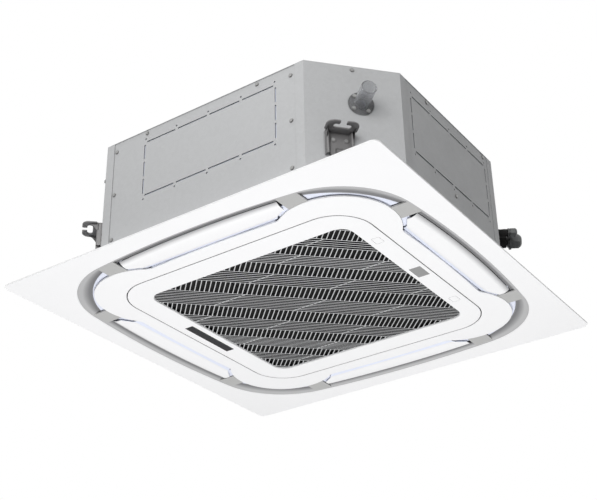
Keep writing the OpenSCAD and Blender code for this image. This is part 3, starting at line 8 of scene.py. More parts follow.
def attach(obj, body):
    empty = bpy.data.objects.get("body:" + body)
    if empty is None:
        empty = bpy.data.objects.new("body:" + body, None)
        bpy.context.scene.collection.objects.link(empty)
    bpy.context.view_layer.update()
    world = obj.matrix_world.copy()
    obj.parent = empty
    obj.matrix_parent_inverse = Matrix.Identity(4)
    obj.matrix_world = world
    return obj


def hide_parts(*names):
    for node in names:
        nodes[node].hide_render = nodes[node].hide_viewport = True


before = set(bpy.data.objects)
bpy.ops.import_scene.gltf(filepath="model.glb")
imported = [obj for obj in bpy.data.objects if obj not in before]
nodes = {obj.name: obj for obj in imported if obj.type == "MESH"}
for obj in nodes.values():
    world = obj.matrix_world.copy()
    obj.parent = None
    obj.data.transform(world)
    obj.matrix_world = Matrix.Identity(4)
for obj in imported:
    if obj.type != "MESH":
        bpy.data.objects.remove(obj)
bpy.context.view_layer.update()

# Walls, top and base of the body. Each is folded from galvanised steel sheet 1.2 mm thick, with
# the zinc left bare: a dull grey of small crystals, with a fine grain over them.
SCREEN_WHITE = 255
SCREEN_GAMMA = 2.2
NOISE_SPAN = (0.3, 0.7)
FINE_DETAIL = 2.0
BROAD_DETAIL = 3.0
BROADER = 60
MOTTLE_SHARE = 0.35
GLOSS_SHARES = (0.9, 1.1)
GAP_SPAN = (0.25, 0.85)
GAP_SAMPLES = 8
EDGE_SAMPLES = 4
CRYSTAL_SCALE = 130
CRYSTAL_SHARE = 0.07


def seen(red, green, blue):
    """A colour as a screen shows it, 0 to 255, in Blender's linear numbers."""
    return tuple((c / SCREEN_WHITE) ** SCREEN_GAMMA for c in (red, green, blue)) + (1.0,)


def join(tree, source, target):
    tree.links.new(source, target)


def mixed(tree, factor, first, second):
    """The socket of a colour that lies between two, by a factor socket."""
    mix = tree.nodes.new("ShaderNodeMix")
    mix.data_type = "RGBA"
    join(tree, factor, mix.inputs[0])
    for socket, value in ((mix.inputs[6], first), (mix.inputs[7], second)):
        if isinstance(value, tuple):
            socket.default_value = value
        else:
            join(tree, value, socket)
    return mix.outputs[2]


def spread(tree, socket, low, high, to_low=0.0, to_high=1.0):
    """A socket's values from low to high, laid out from to_low to to_high."""
    stretch = tree.nodes.new("ShaderNodeMapRange")
    join(tree, socket, stretch.inputs["Value"])
    for name, value in (("From Min", low), ("From Max", high), ("To Min", to_low), ("To Max", to_high)):
        stretch.inputs[name].default_value = value
    return stretch.outputs["Result"]


def grain(tree, scale, detail):
    """A noise on the piece's own coordinates, spread out to 0..1."""
    place = tree.nodes.new("ShaderNodeTexCoord")
    noise = tree.nodes.new("ShaderNodeTexNoise")
    noise.inputs["Scale"].default_value = scale
    noise.inputs["Detail"].default_value = detail
    join(tree, place.outputs["Object"], noise.inputs["Vector"])
    return spread(tree, noise.outputs[0], *NOISE_SPAN)


def crevice(tree, reach):
    """The mask of painted shade: 0 deep in a narrow gap, 1 in the open."""
    hollow = tree.nodes.new("ShaderNodeAmbientOcclusion")
    hollow.samples = GAP_SAMPLES
    hollow.inputs["Distance"].default_value = reach
    return spread(tree, hollow.outputs["AO"], *GAP_SPAN)


def finish(name, screen_colour, roughness, metallic=0.0, scale=700.0, tone=0.06, relief=0.00002,
           edge=0.0006, gap=0.0, painted_shade_colour=(60, 60, 61)):
    """A material whose tone, gloss and surface vary finely, with its edges rounded off, and
    with painted shade, towards painted_shade_colour, in gaps narrower than the value gap."""
    colour = seen(*screen_colour)
    skin = bpy.data.materials.new(name)
    skin.use_nodes = True
    tree = skin.node_tree
    shader = tree.nodes["Principled BSDF"]
    shader.inputs["Metallic"].default_value = metallic
    fine = grain(tree, scale, FINE_DETAIL)
    broad = grain(tree, scale / BROADER, BROAD_DETAIL)
    dark = tuple(c * (1 - tone) for c in colour[:3]) + (1.0,)
    pale = tuple(min(1.0, c * (1 + tone)) for c in colour[:3]) + (1.0,)
    blend = mixed(tree, fine, dark, pale)
    blend = mixed(tree, spread(tree, broad, 0, 1, 0, MOTTLE_SHARE), blend, colour)
    # Painted shade: the colour darkens towards painted_shade_colour where a gap narrower than gap
    # closes in.
    if gap:
        blend = mixed(tree, crevice(tree, gap), seen(*painted_shade_colour), blend)
    join(tree, blend, shader.inputs["Base Color"])
    glossy, dull = [roughness * share for share in GLOSS_SHARES]
    join(tree, spread(tree, broad, 0, 1, glossy, dull), shader.inputs["Roughness"])
    bump = tree.nodes.new("ShaderNodeBump")
    bump.inputs["Strength"].default_value = 1.0
    bump.inputs["Distance"].default_value = relief
    round_off = tree.nodes.new("ShaderNodeBevel")
    round_off.samples = EDGE_SAMPLES
    round_off.inputs["Radius"].default_value = edge
    join(tree, fine, bump.inputs["Height"])
    join(tree, round_off.outputs["Normal"], bump.inputs["Normal"])
    join(tree, bump.outputs["Normal"], shader.inputs["Normal"])
    return skin


def recolour(skin, factor, low=None, high=None):
    """Runs a material's colour from low to high by a factor socket. None is its own colour."""
    tree = skin.node_tree
    base = tree.nodes["Principled BSDF"].inputs["Base Color"]
    own = base.links[0].from_socket
    ends = [own if end is None else seen(*end) for end in (low, high)]
    join(tree, mixed(tree, factor, *ends), base)


def dress(skin, *names):
    """Gives CAD nodes their material."""
    for name in names:
        nodes[name].data.materials.clear()
        nodes[name].data.materials.append(skin)


# Painted shade darkens the sheet towards (60, 60, 61) in laps and gaps narrower than 6 mm.
zinc = finish("galvanised sheet", (186, 187, 188), 0.6, metallic=0.05, scale=900, gap=0.006)
tree = zinc.node_tree
place = tree.nodes.new("ShaderNodeTexCoord")
crystals = tree.nodes.new("ShaderNodeTexVoronoi")
crystals.inputs["Scale"].default_value = CRYSTAL_SCALE
join(tree, place.outputs["Object"], crystals.inputs["Vector"])
flake = tree.nodes.new("ShaderNodeSeparateColor")
join(tree, crystals.outputs["Color"], flake.inputs["Color"])
recolour(zinc, spread(tree, flake.outputs[0], 0, 1, 0, CRYSTAL_SHARE), high=(228, 230, 232))
dress(zinc, "top_plate", "west_side_panel", "south_side_panel", "east_side_panel",
      "north_side_panel", "drain_corner_panel", "pipe_corner_panel", "wiring_corner_panel",
      "plain_corner_panel", "base_frame", "coil_end_plates", "control_box", "control_box_lid")

# Sheet screws of the body, and the long screws that hold the panel. Zinc plated steel, with a
# hexagon head on a pressed washer, driven through the lapped sheets.
# Painted shade darkens the screws towards (38, 38, 38) in gaps narrower than 3 mm.
screw_steel = finish("plated screw steel", (158, 158, 157), 0.35, metallic=0.5, scale=1500,
                     tone=0.04, edge=0.0004, gap=0.003, painted_shade_colour=(38, 38, 38))
dress(screw_steel, "casing_screws", "panel_screws", "fan_nut")

# Four hanging brackets. Each is pressed from thicker galvanised steel: a leg with rolled side
# ribs, screwed to the corner sheet, and a hook plate with a raised rim that takes the rod.
CASE_POINTS = [(-0.420, -0.285), (-0.268, -0.420), (0.138, -0.420), (0.420, -0.244),
               (0.420, 0.241), (0.241, 0.420), (-0.241, 0.420), (-0.420, 0.241)]
# The edge of the body that each bracket stands on, and its rod's place
RODS = {"drain_corner_hanger": (0, -0.386, -0.350), "pipe_corner_hanger": (2, 0.386, -0.350),
        "wiring_corner_hanger": (4, 0.386, 0.312), "plain_corner_hanger": (6, -0.386, 0.312)}
HOOK_Z = 0.129
HOOK_T = 0.0025
HOOK_HALF = 0.033
HOOK_TIP = 0.017
HOOK_FOOT = 0.001
HOOK_CORNER = 0.015
HOOK_ROUND = 0.002
HOOK_RIM_W = 0.0017
HOOK_RIM_H = 0.0009
SLOT_HALF = 0.018
SLOT_R = 0.006
SLOT_ROUND = 0.0057
MOUTH_HALF = 0.0065
MOUTH_ROUND = 0.003
LEG_HALF = 0.029
LEG_LOW = 0.073
LEG_TOP = HOOK_Z - 0.0005
LEG_T = 0.0016
RIB_OUT = 0.0118
RIB_SECTION = [(LEG_HALF, 0.0004), (LEG_HALF, 0.0048), (0.0272, 0.0100), (0.0247, RIB_OUT),
               (0.0222, 0.0100), (0.0204, 0.0048), (0.0185, 0.0030)]
TAB_HALF = 0.0085
TAB_LOW = LEG_LOW + 0.004
TAB_TOP = LEG_LOW + 0.017
TAB_ROUND = 0.002
TAB_OUT = 0.0048
TAB_T = 0.0014
TAB_RIM_W = 0.0022
TAB_RIM_H = 0.0016
SEAT_X = 0.013
SEAT_Z = HOOK_Z - 0.020
SEAT_OUT = 0.0036
SEAT_H = 0.0012
SEAT_R = 0.0064
SEAT_TOP_R = 0.0056
SEAT_SIDES = 24
GUSSET_X = LEG_HALF - 0.0012
GUSSET_T = 0.0022
GUSSET_FOOT = 0.002
GUSSET_KNEE = -0.006
GUSSET_TOE = 0.004
GUSSET_LOW_Z = HOOK_Z - 0.018
GUSSET_KNEE_Z = HOOK_Z - 0.0075
GUSSET_TOP_Z = HOOK_Z - 0.0026
MERGE = 0.00001
CREASE = math.radians(32)


def on_edge(edge, along=0.0, out=0.0, height=0.0):
    """The matrix of a place on one of the body's eight edges: x along it, y outwards."""
    start = Vector(CASE_POINTS[edge])
    run = (Vector(CASE_POINTS[(edge + 1) % len(CASE_POINTS)]) - start).normalized()
    away = Vector((run.y, -run.x))
    at = start + run * along + away * out
    return Matrix(((run.x, away.x, 0, at.x), (run.y, away.y, 0, at.y), (0, 0, 1, height),
                   (0, 0, 0, 1)))


def along_edge(edge, x, y):
    """How far a point lies along an edge, and how far out from it."""
    local = on_edge(edge).inverted() @ Vector((x, y, 0))
    return local.x, local.y


def piece(name, shape, body, skins, *stands_for, slot):
    """A finished piece from a bmesh: merged, facing outwards, dressed and riding on its body."""
    bmesh.ops.remove_doubles(shape, verts=shape.verts, dist=MERGE)
    bmesh.ops.recalc_face_normals(shape, faces=shape.faces)
    for f in shape.faces:
        f.smooth = True
    for e in shape.edges:
        e.smooth = e.calc_face_angle(math.pi) < CREASE
    mesh = bpy.data.meshes.new(name)
    shape.to_mesh(mesh)
    shape.free()
    made = bpy.data.objects.new(name, mesh)
    bpy.context.scene.collection.objects.link(made)
    for skin in skins:
        mesh.materials.append(skin)
    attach(made, body)
    if stands_for:
        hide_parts(*stands_for)
    return made


def rounded(points, radius, steps=6):
    """A closed outline whose corners are rounded by its radius, or by each corner's own."""
    out = []
    for i, point in enumerate(points):
        here = Vector(point)
        size = radius[i] if isinstance(radius, (list, tuple)) else radius
        if size <= 0:
            out.append(here)
            continue
        back = (Vector(points[i - 1]) - here).normalized()
        on = (Vector(points[(i + 1) % len(points)]) - here).normalized()
        half = back.angle(on) / 2
        reach = size / math.tan(half)
        middle = here + (back + on).normalized() * size / math.sin(half)
        first = here + back * reach - middle
        last = here + on * reach - middle
        for k in range(steps + 1):
            out.append(middle + first.slerp(last, k / steps).normalized() * size)
    return out


def flipped(points):
    """The same points on the other side of the middle."""
    return [(-x, *rest) for x, *rest in points]


def outline_face(shape, points, z):
    """A flat face from an outline."""
    return shape.faces.new([shape.verts.new((p[0], p[1], z)) for p in points])


def only(kind, geom):
    """The vertices, or the faces, among what an operator gives back."""
    return [g for g in geom if isinstance(g, kind)]


def thicken(shape, face, offset):
    """Pulls a solid from a face, which stays as its other end."""
    pulled = bmesh.ops.extrude_face_region(shape, geom=[face], use_keep_orig=True)["geom"]
    bmesh.ops.translate(shape, verts=only(bmesh.types.BMVert, pulled), vec=offset)
    return only(bmesh.types.BMFace, pulled)


# Painted shade darkens the brackets towards (52, 51, 51) in gaps narrower than 6 mm.
bracket_steel = finish("bracket steel", (122, 121, 121), 0.42, metallic=0.35, scale=900, tone=0.1,
                       edge=0.0008, gap=0.006, painted_shade_colour=(52, 51, 51))
for node, (edge, rod_x, rod_y) in RODS.items():
    along, out = along_edge(edge, rod_x, rod_y)
    bracket = bmesh.new()
    # The hook plate, with its slot and mouth, and a rim pressed round its underside
    far = out + HOOK_TIP
    near = out - HOOK_TIP + HOOK_T
    outer = [(MOUTH_HALF, far, MOUTH_ROUND), (HOOK_HALF, far, HOOK_CORNER),
             (HOOK_HALF, near, HOOK_ROUND), (LEG_HALF, near, HOOK_ROUND), (LEG_HALF, HOOK_FOOT, 0)]
    inner = [(MOUTH_HALF, out + SLOT_R, HOOK_ROUND), (SLOT_HALF, out + SLOT_R, SLOT_ROUND),
             (SLOT_HALF, out - SLOT_R, SLOT_ROUND)]
    hook = flipped(outer) + outer[::-1] + inner + flipped(inner[::-1])
    face = outline_face(bracket, rounded([p[:2] for p in hook], [p[2] for p in hook]), HOOK_Z)
    under = thicken(bracket, face, (0, 0, -HOOK_T))
    bmesh.ops.inset_region(bracket, faces=under, thickness=HOOK_RIM_W, depth=-HOOK_RIM_H)
    # The leg: a plate between two rolled ribs that stand out from the corner sheet
    last = None
    sheet_faces = []
    for x, y in flipped(RIB_SECTION) + RIB_SECTION[::-1]:
        pair = [bracket.verts.new((x, y, LEG_LOW)), bracket.verts.new((x, y, LEG_TOP))]
        if last:
            sheet_faces.append(bracket.faces.new([last[0], pair[0], pair[1], last[1]]))
        last = pair
    bmesh.ops.solidify(bracket, geom=sheet_faces, thickness=LEG_T)
    # The knocked-in tab low on the leg's plate, and the round rims of the two screw seats
    corners = [(-TAB_HALF, TAB_LOW), (TAB_HALF, TAB_LOW), (TAB_HALF, TAB_TOP), (-TAB_HALF, TAB_TOP)]
    tab = outline_face(bracket, rounded(corners, TAB_ROUND), 0)
    bmesh.ops.rotate(bracket, verts=tab.verts, cent=(0, 0, 0),
                     matrix=Matrix.Rotation(math.radians(90), 3, "X"))
    bmesh.ops.translate(bracket, verts=tab.verts, vec=(0, TAB_OUT, 0))
    thicken(bracket, tab, (0, -TAB_T, 0))
    bmesh.ops.inset_region(bracket, faces=[tab], thickness=TAB_RIM_W, depth=-TAB_RIM_H)
    for x in (-SEAT_X, SEAT_X):
        seat = bmesh.ops.create_cone(bracket, cap_ends=True, segments=SEAT_SIDES, radius1=SEAT_R,
                                     radius2=SEAT_TOP_R, depth=SEAT_H)["verts"]
        bmesh.ops.rotate(bracket, verts=seat, cent=(0, 0, 0),
                         matrix=Matrix.Rotation(math.radians(-90), 3, "X"))
        bmesh.ops.translate(bracket, verts=seat, vec=(x, SEAT_OUT, SEAT_Z))
    # Gussets from the ribs up to the hook plate
    corners = [(GUSSET_FOOT, GUSSET_LOW_Z), (RIB_OUT, GUSSET_LOW_Z),
               (out + GUSSET_KNEE, GUSSET_KNEE_Z), (out + GUSSET_TOE, GUSSET_TOP_Z),
               (GUSSET_FOOT, GUSSET_TOP_Z)]
    for side in (-1, 1):
        plate = bracket.faces.new([bracket.verts.new((side * GUSSET_X, y, z)) for y, z in corners])
        bmesh.ops.solidify(bracket, geom=[plate], thickness=GUSSET_T * side)
    bmesh.ops.transform(bracket, matrix=on_edge(edge, along), verts=bracket.verts)
    piece(node.replace("hanger", "bracket"), bracket, "unit", [bracket_steel], node,
          slot="bracket_steel")

# Lining and drain pan. Both are moulded from expanded foam beads, off-white with a cool cast,
# and fill the body between the steel and the coil.
bead_foam = finish("bead foam", (214, 220, 235), 0.75, scale=260, tone=0.05, relief=0.00012)
dress(bead_foam, "casing_insulation", "drain_pan")

# Bell mouth, fan, pump and small mouldings. Injection moulded in grey plastic with a faint
# texture from the mould; the bell mouth and the fan turn round one axis.
grey_moulding = finish("grey moulding", (158, 160, 162), 0.48, scale=1200, tone=0.03)
dress(grey_moulding, "bell_mouth", "fan_impeller", "drain_pump", "pump_impeller", "louvre_motors")

# Coil. Thin aluminium fins stand side by side on copper tubes; the fins are pressed so close
# that they read as fine upright stripes.
fin_metal = finish("coil fins", (200, 202, 204), 0.4, metallic=0.7, scale=500, tone=0.05)
dress(fin_metal, "coil_fins")
copper = finish("copper tube", (196, 128, 92), 0.35, metallic=0.8, scale=600, tone=0.08)
dress(copper, "coil_tubes")

# Flare nuts and unions. Forged, darkened brass: six flats with the corners turned off, a turned
# collar at each end, and behind each nut the shoulder of its union.
PIPE_Z = 0.137
PIPE_EDGE = 2
GAS_AT = 0.090
LIQUID_AT = 0.050
NUT_START = 0.0302
# Each nut's place along the edge, its length, its width across the flats and its bore
NUTS = {"gas_flare_nut": (GAS_AT, 0.032, 0.032, 0.00799),
        "liquid_flare_nut": (LIQUID_AT, 0.018, 0.020, 0.00481)}
HEX_LENGTH_SHARE = 0.62
HEX_MIDDLE_SHARE = 0.45
CHAMFER_R_SHARE = 0.88
CHAMFER_L_SHARE = 0.055
FACE_Z = 0.0004
FACE_ROUND_Z = 0.0012
# The collars' outlines, in shares of the width across the flats and of the length
FACE_SHARES = (0.44, 0.46)
BACK_SHARES = [(0.46, 0.12), (0.40, 0.14)]
FRONT_SHARES = [(0.40, 0.72), (0.47, 0.78), (0.46, 0.86), (0.36, 0.97), (0.30, 1.0)]
NUT_MOUTH_W = 0.0012
NUT_MOUTH_DEPTH = 0.001
BORE_END_SHARE = 0.5
OUTWARD = Matrix.Rotation(math.radians(-90), 4, "X")
# Painted shade darkens the nuts towards (22, 22, 22) in gaps narrower than 4 mm.
dark_brass = finish("darkened brass", (96, 97, 97), 0.38, metallic=0.45, scale=900, tone=0.12,
                    edge=0.0008, gap=0.004, painted_shade_colour=(22, 22, 22))
dress(dark_brass, "gas_pipe", "liquid_pipe")


def turned(shape, profile, matrix, segments=48):
    """A turned form: a profile of (radius, height) spun round z and put in place."""
    before = set(shape.verts)
    line = [shape.verts.new((r, 0, h)) for r, h in profile]
    edges = [shape.edges.new((a, b)) for a, b in zip(line, line[1:])]
    bmesh.ops.spin(shape, geom=line + edges, cent=(0, 0, 0), axis=(0, 0, 1), angle=math.tau,
                   steps=segments, use_merge=True)
    bmesh.ops.transform(shape, matrix=matrix, verts=[v for v in shape.verts if v not in before])


for node, (along, length, flats, bore) in NUTS.items():
    nut = bmesh.new()
    corner = flats / math.sqrt(3)
    hexagon = bmesh.ops.create_cone(nut, cap_ends=False, segments=6, radius1=corner,
                                    radius2=corner, depth=length * HEX_LENGTH_SHARE)["verts"]
    bmesh.ops.translate(nut, verts=hexagon, vec=(0, 0, length * HEX_MIDDLE_SHARE))
    rings = [e for e in nut.edges if e.is_boundary]
    low = [e for e in rings if e.verts[0].co.z < length * HEX_MIDDLE_SHARE]
    high = [e for e in rings if e not in low]
    for ring, step in ((low, -1), (high, 1)):
        grown = bmesh.ops.extrude_edge_only(nut, edges=ring)["geom"]
        for v in only(bmesh.types.BMVert, grown):
            v.co.x *= CHAMFER_R_SHARE
            v.co.y *= CHAMFER_R_SHARE
            v.co.z += step * length * CHAMFER_L_SHARE
    place = on_edge(PIPE_EDGE, along, NUT_START, PIPE_Z) @ OUTWARD
    bmesh.ops.transform(nut, matrix=place, verts=nut.verts)
    back = [(bore, FACE_Z), (flats * FACE_SHARES[0], FACE_Z), (flats * FACE_SHARES[1], FACE_ROUND_Z)]
    back += [(flats * r, length * h) for r, h in BACK_SHARES]
    turned(nut, back, place)
    front = [(flats * r, length * h) for r, h in FRONT_SHARES]
    front += [(bore + NUT_MOUTH_W, length), (bore, length - NUT_MOUTH_DEPTH),
              (bore, length * BORE_END_SHARE)]
    turned(nut, front, place)
    piece(node.replace("_flare", ""), nut, "unit", [dark_brass], node, slot="nut_brass")

# Foam round the pipes. Black closed-cell foam: a soft plate on the corner sheet and a sleeve on
# each pipe, all with rounded edges.
PAD_SPAN = (0.032, 0.114)
PAD_HALF = 0.024
PAD_CORNER = 0.009
PAD_CORNER_STEPS = 8
PAD_T = 0.004
PAD_SIDE_SHARE = 0.6
PAD_EDGE = 0.0018
PAD_LIFT = 0.0001
# Each sleeve's place along the edge, its radius and its bore
SLEEVES = ((GAS_AT, 0.015, 0.00805), (LIQUID_AT, 0.009, 0.0049))
SLEEVE_L = 0.0282
SLEEVE_FULL_SHARE = 0.7
SLEEVE_WAIST_SHARE = 0.4
SLEEVE_WAIST = 0.0005
SLEEVE_END = 0.0015
SLEEVE_END_IN = 0.0004
SLEEVE_FACE_IN = 0.002
SLEEVE_MOUTH_W = 0.001
SLEEVE_MOUTH_DEPTH = 0.0002
SLEEVE_FOOT_W = 0.0015
SLEEVE_FOOT_H = 0.002
black_foam = finish("black foam", (26, 25, 25), 0.9, scale=900, tone=0.25, relief=0.0002,
                    edge=0.0015)
pad = bmesh.new()
corners = [(PAD_SPAN[0], -PAD_HALF), (PAD_SPAN[1], -PAD_HALF), (PAD_SPAN[1], PAD_HALF),
           (PAD_SPAN[0], PAD_HALF)]
face = outline_face(pad, rounded(corners, PAD_CORNER, PAD_CORNER_STEPS), 0.0)
pulled = thicken(pad, face, (0, 0, PAD_T * PAD_SIDE_SHARE))
bmesh.ops.inset_region(pad, faces=pulled, thickness=PAD_EDGE, depth=PAD_T * (1 - PAD_SIDE_SHARE))
for v in pad.verts:
    v.co = (v.co.x, v.co.z + PAD_LIFT, v.co.y + PIPE_Z)
bmesh.ops.transform(pad, matrix=on_edge(PIPE_EDGE), verts=pad.verts)
for along, radius, bore in SLEEVES:
    sleeve = [(bore, 0.0), (bore, SLEEVE_L - SLEEVE_END),
              (bore + SLEEVE_MOUTH_W, SLEEVE_L - SLEEVE_MOUTH_DEPTH),
              (radius - SLEEVE_FACE_IN, SLEEVE_L), (radius - SLEEVE_END_IN, SLEEVE_L - SLEEVE_END),
              (radius, SLEEVE_L * SLEEVE_FULL_SHARE),
              (radius - SLEEVE_WAIST, SLEEVE_L * SLEEVE_WAIST_SHARE),
              (radius, PAD_T + SLEEVE_FOOT_H), (radius + SLEEVE_FOOT_W, PAD_T)]
    turned(pad, sleeve, on_edge(PIPE_EDGE, along, 0, PIPE_Z) @ OUTWARD)
foam = piece("pipe_insulation", pad, "unit", [black_foam], "pipe_foam", slot="black_foam")

# Seal between panel and body. A strip of the same foam, squeezed a little, so that its edges are
# round where the solid's are sharp.
SEAL_ROUND = 0.0018
SEAL_STEPS = 3
SEAL_MERGE = 0.00002
SEAL_FLAT = math.radians(1)
SEAL_SHARP = math.radians(50)
seal = bmesh.new()
seal.from_mesh(nodes["panel_seal"].data)
bmesh.ops.remove_doubles(seal, verts=seal.verts, dist=SEAL_MERGE)
bmesh.ops.dissolve_limit(seal, angle_limit=SEAL_FLAT, verts=seal.verts, edges=seal.edges)
bmesh.ops.bevel(seal, geom=[e for e in seal.edges if e.calc_face_angle(0) > SEAL_SHARP],
                offset=SEAL_ROUND, offset_type="OFFSET", affect="EDGES", segments=SEAL_STEPS,
                profile=0.5, material=-1)
foam = piece("foam_seal", seal, "unit", [black_foam], "panel_seal", slot="black_foam")

# Rubber pieces: the motor's three mounts, the cable grommet and the drain hose. The mounts stand
# between the motor's feet and the top plate, and the grommet lines a hole in the corner sheet.
rubber = finish("black rubber", (34, 34, 35), 0.6, scale=900, tone=0.12)
dress(rubber, "motor_rubber_mounts", "cable_grommet", "pump_hose")

# Fan motor. A pressed steel can with rounded shoulders, painted dark grey, and bolted up under
# the top plate through its three rubber mounts.
motor_paint = finish("motor paint", (62, 64, 66), 0.4)
dress(motor_paint, "fan_motor")

# Float of the drain pump's switch. It is moulded in pale foam plastic, and rides up with the
# water in the pan's sump.
float_white = finish("float plastic", (232, 232, 228), 0.5, tone=0.03)
dress(float_white, "float")

# Drain tube and socket flange. Clear vinyl, slightly clouded, so that the bore shows dark
# behind them.
clear = finish("clear vinyl", (222, 223, 225), 0.16, tone=0.03)
shader = clear.node_tree.nodes["Principled BSDF"]
shader.inputs["Transmission Weight"].default_value = 0.85
shader.inputs["IOR"].default_value = 1.16
dress(clear, "drain_tube", "drain_socket")

# Control board. A board of glass fibre, lacquered green, which lies on posts under the roof of
# its steel box, above the lid.
board = finish("board lacquer", (46, 104, 66), 0.35, scale=900, tone=0.1)
dress(board, "control_board")

# Panel. The flat frame that bears on the ceiling, with its border that slopes in to the ring.
# One white moulding with a smooth satin face.


def white_moulding(name):
    """The white plastic of the panel, the centre plate and the blades."""
    return finish(name, (249, 249, 250), 0.42, scale=1500, tone=0.01, relief=0.000008, edge=0.0012)


dress(white_moulding("white moulding"), "panel_frame")

# Centre plate, grille frame and latches: the same moulding, with shade painted dark grey into
# the gaps round the grille and round its latches.
GRILLE_ZONE = (0.328, 0.334)
GRILLE_GAP = 0.004


def axes(tree, output="Object"):
    """The X, Y and Z of the piece's own coordinates, or of the way its surface faces."""
    place = tree.nodes.new("ShaderNodeTexCoord")
    parts = tree.nodes.new("ShaderNodeSeparateXYZ")
    join(tree, place.outputs[output], parts.inputs[0])
    return parts.outputs


def larger(tree, first, second):
    """The larger of two sockets' values."""
    pick = tree.nodes.new("ShaderNodeMath")
    pick.operation = "MAXIMUM"
    join(tree, first, pick.inputs[0])
    join(tree, second, pick.inputs[1])
    return pick.outputs[0]


white_gap_shaded = white_moulding("white moulding with gaps")
tree = white_gap_shaded.node_tree
at = axes(tree)
reaches = []
for axis in ("X", "Y"):
    size = tree.nodes.new("ShaderNodeMath")
    size.operation = "ABSOLUTE"
    join(tree, at[axis], size.inputs[0])
    reaches.append(size.outputs[0])
outside = spread(tree, larger(tree, *reaches), *GRILLE_ZONE)
# Painted shade: dark grey in gaps narrower than GRILLE_GAP, only inside the square within GRILLE_ZONE.
recolour(white_gap_shaded, larger(tree, crevice(tree, GRILLE_GAP), outside), low=(86, 86, 88))
dress(white_gap_shaded, "centre_plate", "grille_frame", "latch_west", "latch_east")

# Ring round the air channel. A satin grey moulding: a thin raised rim at the panel's border, a
# hollow band that slopes in, and a curled edge where the air channel starts.
RING_W = 0.017
SIDE_STEPS = 12
CORNER_STEPS = 14
BLEND_START = 0.003
BLEND_W = 0.011
RING_SHADE = (-0.0005, 0.0032)
QUARTERS = [Matrix.Rotation(math.radians(90 * k), 4, "Z") for k in range(4)]
# The half width, bow and corner radius of the ring's outer border and of the channel's edge
RING = (0.429, 2.250, 0.1876)
LIP = (0.412, 2.233, 0.225)
# The ring's section: how far in from the outer border, and how high
RING_SECTION = [(-0.007, 0.0), (0.0001, 0.0), (0.0003, -0.0026), (0.0009, -0.0029),
                (0.0022, -0.0029), (0.0030, -0.0024), (0.0036, -0.0022), (0.0060, -0.0006),
                (0.0090, 0.0014), (0.0120, 0.0029), (0.0145, 0.0034), (0.0155, 0.0027),
                (0.0165, 0.0025), (0.0170, 0.0032), (0.0170, 0.0080), (0.0155, 0.0080),
                (0.0020, 0.0020), (-0.007, 0.0020)]


def by_height(skin, low, high, colour):
    """Blends a colour into a material, from none at the height low to all of it at high."""
    tree = skin.node_tree
    recolour(skin, spread(tree, axes(tree)["Z"], low, high), high=colour)


def bowed_square(size, inset):
    """A square with bowed sides and round corners: its half width, bow and corner radius."""
    mid, bow, corner = [v - inset for v in size]
    back = bow - mid
    centre = (math.sqrt(2 * (bow - corner) ** 2 - back ** 2) - back) / 2
    side = math.atan2(centre, centre + back)
    eighth = []
    for k in range(SIDE_STEPS):
        angle = side * k / SIDE_STEPS
        eighth.append(Vector((bow * math.sin(angle), bow * math.cos(angle) - back, 0)))
    for k in range(CORNER_STEPS + 1):
        angle = side + (math.pi / 4 - side) * k / CORNER_STEPS
        x = centre + corner * math.sin(angle)
        y = centre + corner * math.cos(angle)
        eighth.append(Vector((x, y, 0)))
    quarter = eighth + [Vector((p.y, p.x, 0)) for p in reversed(eighth[1:-1])]
    return [QUARTERS[-k] @ p for k in range(4) for p in quarter]


ring_grey = finish("ring grey", (184, 184, 185), 0.42, scale=1500, tone=0.02, relief=0.00001,
                   edge=0.0004)
# Painted shade: the ring greys towards (122, 122, 124) where its surface rises into the channel.
by_height(ring_grey, *RING_SHADE, (122, 122, 124))
rows = []
for depth, height in RING_SECTION:
    share = min(1.0, max(0.0, (depth - BLEND_START) / BLEND_W))
    rows.append([a.lerp(b, share) + Vector((0, 0, height)) for a, b in
                 zip(bowed_square(RING, depth), bowed_square(LIP, depth - RING_W))])
ring = bmesh.new()
bmesh.ops.create_grid(ring, x_segments=len(rows[0]), y_segments=len(rows), size=1)
for v in ring.verts:
    row = rows[round((v.co.y + 1) / 2 * len(rows)) % len(rows)]
    v.co = row[round((v.co.x + 1) / 2 * len(row)) % len(row)]
piece("air_channel_ring", ring, "unit", [ring_grey], "channel_ring", slot="ring_grey")

# Eight straps that cross the air channel. Each is moulded in the ring's grey, and carries the
# end of a blade.
strap_grey = finish("strap grey", (184, 184, 183), 0.42, scale=1500, tone=0.02, relief=0.00001,
                    edge=0.0008)
dress(strap_grey, "channel_straps")

# Liner of the air channel, moulded from pale foam plastic that looks faintly blue beside the
# white panel. Its inner wall stands beside the centre plate, behind the blades' inner flanges.
WALL_ROUND = 0.0004
WALL_STEPS = 2
# The bars of the wall on the north side, from and to in x, y and z
WALL_BARS = [((-0.160, 0.160), (0.3462, 0.3478), (0.0003, 0.0119)),
             ((0.1772, 0.2082), (0.3500, 0.3840), (0.0006, 0.0018)),
             ((-0.2082, -0.1772), (0.3500, 0.3840), (0.0006, 0.0018))]
liner = finish("liner foam", (228, 232, 246), 0.7, scale=300, tone=0.03, relief=0.00008)
dress(liner, "duct_liner")
wall = bmesh.new()
for turn in QUARTERS:
    for spans in WALL_BARS:
        at = Matrix.Translation([(low + high) / 2 for low, high in spans])
        size = Matrix.Diagonal([high - low for low, high in spans] + [1])
        bar = bmesh.ops.create_cube(wall, size=1, matrix=turn @ at @ size)["verts"]
        bmesh.ops.bevel(wall, geom=list({e for v in bar for e in v.link_edges}),
                        offset=WALL_ROUND, offset_type="OFFSET", affect="EDGES",
                        segments=WALL_STEPS, profile=0.5, material=-1)
piece("air_channel_wall", wall, "unit", [liner], slot="liner_white")

